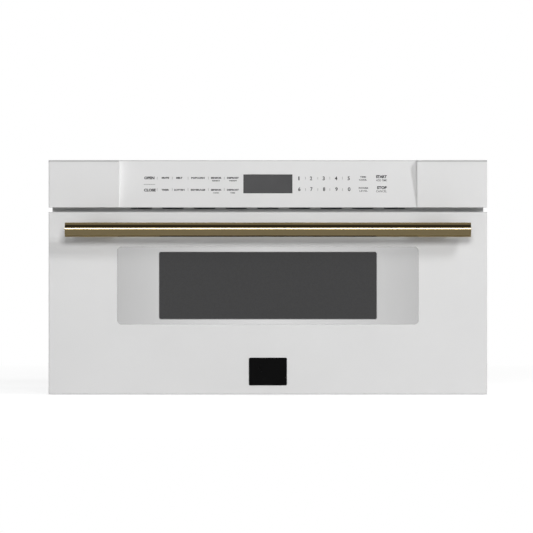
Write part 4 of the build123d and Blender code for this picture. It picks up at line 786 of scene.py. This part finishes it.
def on_key_face(shape, across, up, width, height, film):
    """Scales a unit shape to a width and height and lays it on the leaning key face.

    Local x goes across, local y up the slope and local z out of the face, from the middle of the
    display lens. Places across and up are in millimetres.
    """
    points, faces = shape
    middle, upward, outward = key_face()
    local = points * (width, height, film) + (across * MM, up * MM, film / 2)
    return middle + local @ np.stack(((1.0, 0.0, 0.0), upward, outward)), faces


def printed(rows, film):
    """Rows of key legends as one shape."""
    return joined(
        on_key_face(word_shape(words, weight), across, up, width * MM, cap * MM, film)
        for words, across, up, width, cap, weight in rows
    )


class MICROWAVE_OT_key_print(bpy.types.Operator):
    """Prints the words, digits and thin lines of the touch keys on the leaning face"""

    bl_idname = "microwave.key_print"
    bl_label = "Key print"

    def execute(self, context):
        sizes = context.scene.microwave_print
        colours = context.scene.microwave_colours
        ink = ink_film("key_ink", tuple(colours.ink))
        pale = ink_film("pale_key_ink", tuple(colours.pale_ink))
        width, height, film = sizes.divider_width, sizes.divider_height, sizes.film
        lines = [
            on_key_face(bar_shape(), across, up, width, height, film)
            for up in DIVIDERS_UP
            for across in DIVIDERS_ACROSS
        ]
        lines += [
            on_key_face(bar_shape(), across, TICK_UP, TICK_WIDTH * MM, sizes.tick_height, film)
            for across in TICKS_ACROSS
        ]
        for name, shape, finish in (
            ("key_words", printed(LEGENDS, film), ink),
            ("key_second_lines", printed(SECOND_LINES, film), pale),
            ("key_dividers", joined(lines), pale),
        ):
            make_piece(name, shape, finish, "chassis", PRINT_EDGE_ANGLE)
        return {"FINISHED"}


def screw_head(diameter, height):
    """Pan head with a cross recess, standing on local z = 0.

    The head is a height over the plane, in polar steps: a flattened dome h (1 - 0.55 r^4) to the rim,
    less a cross whose arms sink where |x| or |y| is small and r is under half the radius. A wall and a
    floor close it.
    """
    radius, steps, fall, sink = diameter / 2, 40, 0.55, 0.6
    arm_half, arm_slope, arm_reach, end_slope = 0.15, 0.08, 0.54, 0.1
    share = np.array([0.06, 0.14, 0.24, 0.36, 0.44, 0.52, 0.62, 0.74, 0.86, 0.95, 1.0])
    angle = np.linspace(0, 2 * math.pi, steps, endpoint=False)
    r, t = np.meshgrid(share, angle, indexing="ij")
    x, y = r * np.cos(t), r * np.sin(t)
    arm = np.clip((arm_half - np.minimum(np.abs(x), np.abs(y))) / arm_slope, 0, 1)
    cross = arm * np.clip((arm_reach - r) / end_slope, 0, 1)
    top = np.stack((x * radius, y * radius, height * (1 - fall * r**4 - sink * cross)), axis=-1)
    rim = top[-1:] * (1, 1, 0)
    return closed(np.concatenate((rim, top[::-1])), [(0, 0, 0), (0, 0, height * (1 - sink))])


def stood_on(shape, place, outward):
    """Stands a shape's local z along an axis of the frame, at a place."""
    points, faces = shape
    out = np.array(outward, float)
    first = np.array((0.0, 0.0, 1.0)) if abs(out[2]) < 0.5 else np.array((1.0, 0.0, 0.0))
    second = np.cross(out, first)
    return np.array(place) + points @ np.stack((first, second, out)), faces


# Places of the screws, in metres: rows on the rear panel, the cover, the frame and the door's back
REAR_ROW_X = (-0.335, -0.17, 0.0, 0.17, 0.335)
REAR_ROW_INSET = 0.011
REAR_SIDE_Z = (0.13, 0.25)
REAR_SIDE_INSET = 0.010
COVER_SIDE_Y = (-0.265, -0.09, 0.09, 0.265)
COVER_TOP_X = (-0.25, 0.0, 0.25)
COVER_INSET = 0.0075
FRAME_Z = (0.03, 0.09, 0.21, 0.35)
FRAME_INSET = 0.009
DOOR_SIDE_X = 0.366
DOOR_SIDE_Z = (0.05, 0.145, 0.24)
DOOR_ROW_X = (-0.2, 0.0, 0.2)
DOOR_ROW_Z = (0.008, 0.2945)
SCREW_EDGE_ANGLE = 35.0
BOTH_SIDES = (-1, 1)


class MICROWAVE_OT_case_screws(bpy.types.Operator):
    """Drives the screws of the case, the frame and the back of the door"""

    bl_idname = "microwave.case_screws"
    bl_label = "Screws"

    def execute(self, context):
        sizes = context.scene.microwave_screws
        tall = screw_head(sizes.head, sizes.height)
        low = screw_head(sizes.head, sizes.low_height)
        side, top = span("wrap_cover", 0)[1], span("wrap_cover", 2)[1]
        panel_side, back, panel_top = (span("rear_panel", axis)[1] for axis in range(3))
        frame_y, inner_y = span("mounting_frame", 1)[0], span("door_inner_panel", 1)[1]
        case = [
            stood_on(tall, (x, back, z), (0, 1, 0))
            for z in (REAR_ROW_INSET, panel_top - REAR_ROW_INSET)
            for x in REAR_ROW_X
        ]
        case += [
            stood_on(tall, (edge * (panel_side - REAR_SIDE_INSET), back, z), (0, 1, 0))
            for edge in BOTH_SIDES
            for z in REAR_SIDE_Z
        ]
        case += [
            stood_on(tall, (edge * side, y, COVER_INSET), (edge, 0, 0))
            for edge in BOTH_SIDES
            for y in COVER_SIDE_Y
        ]
        case += [stood_on(tall, (x, back - COVER_INSET, top), (0, 0, 1)) for x in COVER_TOP_X]
        on_frame = [
            stood_on(low, (edge * (side - FRAME_INSET), frame_y, z), (0, -1, 0))
            for edge in BOTH_SIDES
            for z in FRAME_Z
        ]
        on_door = [
            stood_on(low, (edge * DOOR_SIDE_X, inner_y, z), (0, 1, 0))
            for edge in BOTH_SIDES
            for z in DOOR_SIDE_Z
        ]
        on_door += [
            stood_on(low, (x, inner_y, z), (0, 1, 0)) for x in DOOR_ROW_X for z in DOOR_ROW_Z
        ]
        steel = finish_of("rail_steel")
        for name, heads, body in (
            ("case_screws", case, "chassis"),
            ("frame_screws", on_frame, "chassis"),
            ("door_screws", on_door, "drawer"),
        ):
            make_piece(name, joined(heads), steel, body, SCREW_EDGE_ANGLE)
        return {"FINISHED"}


# The room that metal and glass show: levels of the ceiling by height, and where its back turns white
CEILING = ((0.0, 1.0), (0.36, 1.0), (0.55, 0.5), (0.68, 0.13))
ROOM_BACK = (-0.25, 0.1)

# The floor in metres, and albedo and glow of its paint: near the object, far away, and as it lights
FLOOR_REACH = 30.0
FLOOR_GAP = 0.001
FLOOR_FADE = (1.0, 2.6)
NEAR_PAINT = (0.5, 0.75)
FAR_PAINT = (0.0, 1.0)
LIGHTING_PAINT = (0.66, 0.13)

# Height that the soft boxes aim at, gap behind the card on the recess's wall, and sensor in millimetres
AIM_HEIGHT = 0.19
CARD_GAP = 0.0004
SENSOR_WIDTH = 36.0

# Soft boxes: azimuth and elevation in degrees, distance, width and height in metres
BOXES = {
    "front_box": (2.5, 14.5, 5.5, 1.4, 0.95),
    "left_strip": (-35.0, 19.0, 5.5, 2.0, 1.0),
    "strip": (0.0, 19.0, 5.5, 2.0, 1.0),
    "right_strip": (35.0, 19.0, 5.5, 2.0, 1.0),
    "key_box": (34.6, 30.5, 6.0, 1.3, 1.3),
    "panel_key_box": (39.5, 38.0, 6.0, 0.6, 0.6),
    "left_fill": (-115.0, 20.0, 4.0, 1.6, 1.6),
    "right_fill": (115.0, 20.0, 4.0, 1.6, 1.6),
}


def mixed(tree, factor, first, second):
    """Two shaders, the second by a factor."""
    node = tree.nodes.new("ShaderNodeMixShader")
    tree.links.new(factor, node.inputs["Fac"])
    tree.links.new(first, node.inputs[1])
    tree.links.new(second, node.inputs[2])
    return node.outputs["Shader"]


def ray_kinds(tree):
    """Sockets that are 1 for rays from the camera, and for rays that metal or glass sends on."""
    path = tree.nodes.new("ShaderNodeLightPath").outputs
    sent_on = computed(tree, "MAXIMUM", path["Is Glossy Ray"], path["Is Transmission Ray"])
    return path["Is Camera Ray"], sent_on


def studio_world(ambient):
    """A white room whose ceiling is dark over the front.

    Metal and glass show the room as it is, the camera sees it white, and matt surfaces get a share of
    its light.
    """
    world = bpy.data.worlds.new("studio")
    bpy.context.scene.world = world
    world.use_nodes = True
    tree = world.node_tree
    tree.nodes.clear()
    output = tree.nodes.new("ShaderNodeOutputWorld")
    coords = tree.nodes.new("ShaderNodeTexCoord")
    _, y, z = axes(tree, coords.outputs["Generated"])
    ceiling = ramp(world, z, *((place, (level,) * 3) for place, level in CEILING))
    room = computed(tree, "MAXIMUM", ceiling, spread_over(tree, y, *ROOM_BACK))

    def background(strength, colour=None):
        node = tree.nodes.new("ShaderNodeBackground")
        node.inputs["Color"].default_value = (1.0, 1.0, 1.0, 1.0)
        node.inputs["Strength"].default_value = strength
        if colour is not None:
            tree.links.new(colour, node.inputs["Color"])
        return node.outputs["Background"]

    from_camera, sent_on = ray_kinds(tree)
    lit = mixed(tree, sent_on, background(ambient, room), background(1.0, room))
    shown = mixed(tree, from_camera, lit, background(1.0))
    tree.links.new(shown, output.inputs["Surface"])


def floor_finish():
    """Pale floor: paint that takes the object's shadow near it and runs out into white further away.

    The camera, metal and glass see the paint lifted to the white of the background; on the object it
    throws light back.
    """
    material = bpy.data.materials.new("studio_floor")
    material.use_nodes = True
    tree = material.node_tree
    tree.nodes.clear()
    output = tree.nodes.new("ShaderNodeOutputMaterial")

    def glowing(albedo, strength):
        matt, glow = tree.nodes.new("ShaderNodeBsdfDiffuse"), tree.nodes.new("ShaderNodeEmission")
        matt.inputs["Color"].default_value = (albedo, albedo, albedo, 1.0)
        glow.inputs["Strength"].default_value = strength
        both = tree.nodes.new("ShaderNodeAddShader")
        tree.links.new(matt.outputs["BSDF"], both.inputs[0])
        tree.links.new(glow.outputs["Emission"], both.inputs[1])
        return both.outputs["Shader"]

    coords = tree.nodes.new("ShaderNodeTexCoord")
    far = tree.nodes.new("ShaderNodeVectorMath")
    far.operation = "LENGTH"
    tree.links.new(coords.outputs["Object"], far.inputs[0])
    fade = spread_over(tree, far.outputs["Value"], *FLOOR_FADE)
    shown = mixed(tree, fade, glowing(*NEAR_PAINT), glowing(*FAR_PAINT))
    seen = computed(tree, "MAXIMUM", *ray_kinds(tree))
    tree.links.new(mixed(tree, seen, glowing(*LIGHTING_PAINT), shown), output.inputs["Surface"])
    return material


def lay_floor():
    """A wide pale floor just under the object."""
    ground = CAD_BOX[0][2] - FLOOR_GAP
    corners = np.array([(-1, -1), (1, -1), (1, 1), (-1, 1)]) * FLOOR_REACH
    mesh = bpy.data.meshes.new("floor")
    mesh.from_pydata(np.column_stack((corners, np.full(4, ground))).tolist(), [], [(0, 1, 2, 3)])
    mesh.materials.append(floor_finish())
    piece = new_object("floor", mesh)


def flat_lamp(name, width, height, power, place, turn):
    """A rectangular lamp that the camera doesn't see."""
    data = bpy.data.lights.new(name, "AREA")
    data.shape = "RECTANGLE"
    data.size, data.size_y, data.energy = width, height, power
    lamp = new_object(name, data)
    lamp.location, lamp.rotation_euler = place, turn
    lamp.visible_camera = False
    return lamp


def soft_box(name, power):
    """One of the soft boxes, which all face the middle of the front."""
    azimuth, elevation, distance, width, height = BOXES[name]
    side, rise = math.radians(azimuth), math.radians(elevation)
    level = math.cos(rise)
    towards = np.array((math.sin(side) * level, -math.cos(side) * level, math.sin(rise)))
    place = np.array((0.0, FACE_Y, AIM_HEIGHT)) + distance * towards
    return flat_lamp(name, width, height, power, place, (math.pi / 2 - rise, 0.0, side))


def link_light(lamp, piece, state="INCLUDE"):
    """Lets a lamp light one piece only, or with EXCLUDE every piece but that one."""
    linked = bpy.data.collections.new(f"{lamp.name}_link")
    linked.objects.link(piece)
    linked.collection_objects[0].light_linking.link_state = state
    lamp.light_linking.receiver_collection = linked


def recess_card(power):
    """A small card of light on the left end wall of the key recess, for the key face beside it."""
    height = FASCIA_HIGH[2] - FASCIA_LOW[2]
    place = (
        FASCIA_LOW[0] + END_BLOCK_WIDTH + CARD_GAP,
        FASCIA_LOW[1] + KEY_RECESS_DEPTH / 2,
        (FASCIA_LOW[2] + FASCIA_HIGH[2]) / 2,
    )
    card = flat_lamp("recess_card", height, KEY_RECESS_DEPTH, power, place, (0.0, -math.pi / 2, 0.0))
    card.visible_glossy = False


class MICROWAVE_OT_stage(bpy.types.Operator):
    """Sets the floor, the lights and the camera"""

    bl_idname = "microwave.stage"
    bl_label = "Stage"

    def execute(self, context):
        studio = context.scene.microwave_studio
        context.scene.view_settings.view_transform = "Standard"
        studio_world(studio.ambient)
        lay_floor()
        front = soft_box("front_box", studio.front_power)
        front.visible_glossy = False
        for name in ("left_strip", "strip", "right_strip"):
            strip = soft_box(name, studio.strip_power)
            strip.visible_diffuse = False
            link_light(strip, bpy.data.objects["bar_of_handle"])
        key = soft_box("key_box", studio.key_power)
        key.visible_glossy = False
        link_light(key, frame["nodes"]["control_fascia"], "EXCLUDE")
        panel_key = soft_box("panel_key_box", studio.panel_key_power)
        link_light(panel_key, frame["nodes"]["control_fascia"])
        recess_card(studio.card_power)
        for name in ("left_fill", "right_fill"):
            fill = soft_box(name, studio.fill_power)
            fill.visible_glossy = False
        data = bpy.data.cameras.new("camera")
        data.lens, data.sensor_width = studio.lens, SENSOR_WIDTH
        camera = new_object("camera", data)
        camera.location = (studio.camera_side, FACE_Y - studio.camera_distance, studio.camera_height)
        camera.rotation_euler = (math.pi / 2, 0.0, 0.0)
        context.scene.camera = camera
        return {"FINISHED"}


class MICROWAVE_PT_sidebar(bpy.types.Panel):
    """Lists the steps and their sizes"""

    bl_idname = "MICROWAVE_PT_sidebar"
    bl_label = "Drawer microwave"
    bl_space_type = "VIEW_3D"
    bl_region_type = "UI"
    bl_category = "Microwave"

    def draw(self, context):
        for step in STEPS:
            self.layout.operator(step.bl_idname)
        for group, kind in GROUPS.items():
            box = self.layout.box()
            box.label(text=kind.__doc__)
            for field in kind.__annotations__:
                box.prop(getattr(context.scene, group), field)


STEPS = (
    MICROWAVE_OT_finishes,
    MICROWAVE_OT_handle,
    MICROWAVE_OT_key_print,
    MICROWAVE_OT_case_screws,
    MICROWAVE_OT_stage,
)


def register():
    """Registers the groups, the operators and the panel."""
    for group, kind in GROUPS.items():
        bpy.utils.register_class(kind)
        setattr(bpy.types.Scene, group, bpy.props.PointerProperty(type=kind))
    for kind in (*STEPS, MICROWAVE_PT_sidebar):
        bpy.utils.register_class(kind)


def unregister():
    """Takes the panel, the operators and the groups away."""
    for kind in (MICROWAVE_PT_sidebar, *reversed(STEPS)):
        bpy.utils.unregister_class(kind)
    for group, kind in reversed(GROUPS.items()):
        delattr(bpy.types.Scene, group)
        bpy.utils.unregister_class(kind)


def main():
    """Runs the steps in order."""
    register()
    bpy.ops.microwave.finishes()
    bpy.ops.microwave.handle()
    bpy.ops.microwave.key_print()
    bpy.ops.microwave.case_screws()
    bpy.ops.microwave.stage()


if __name__ == "__main__":
    main()
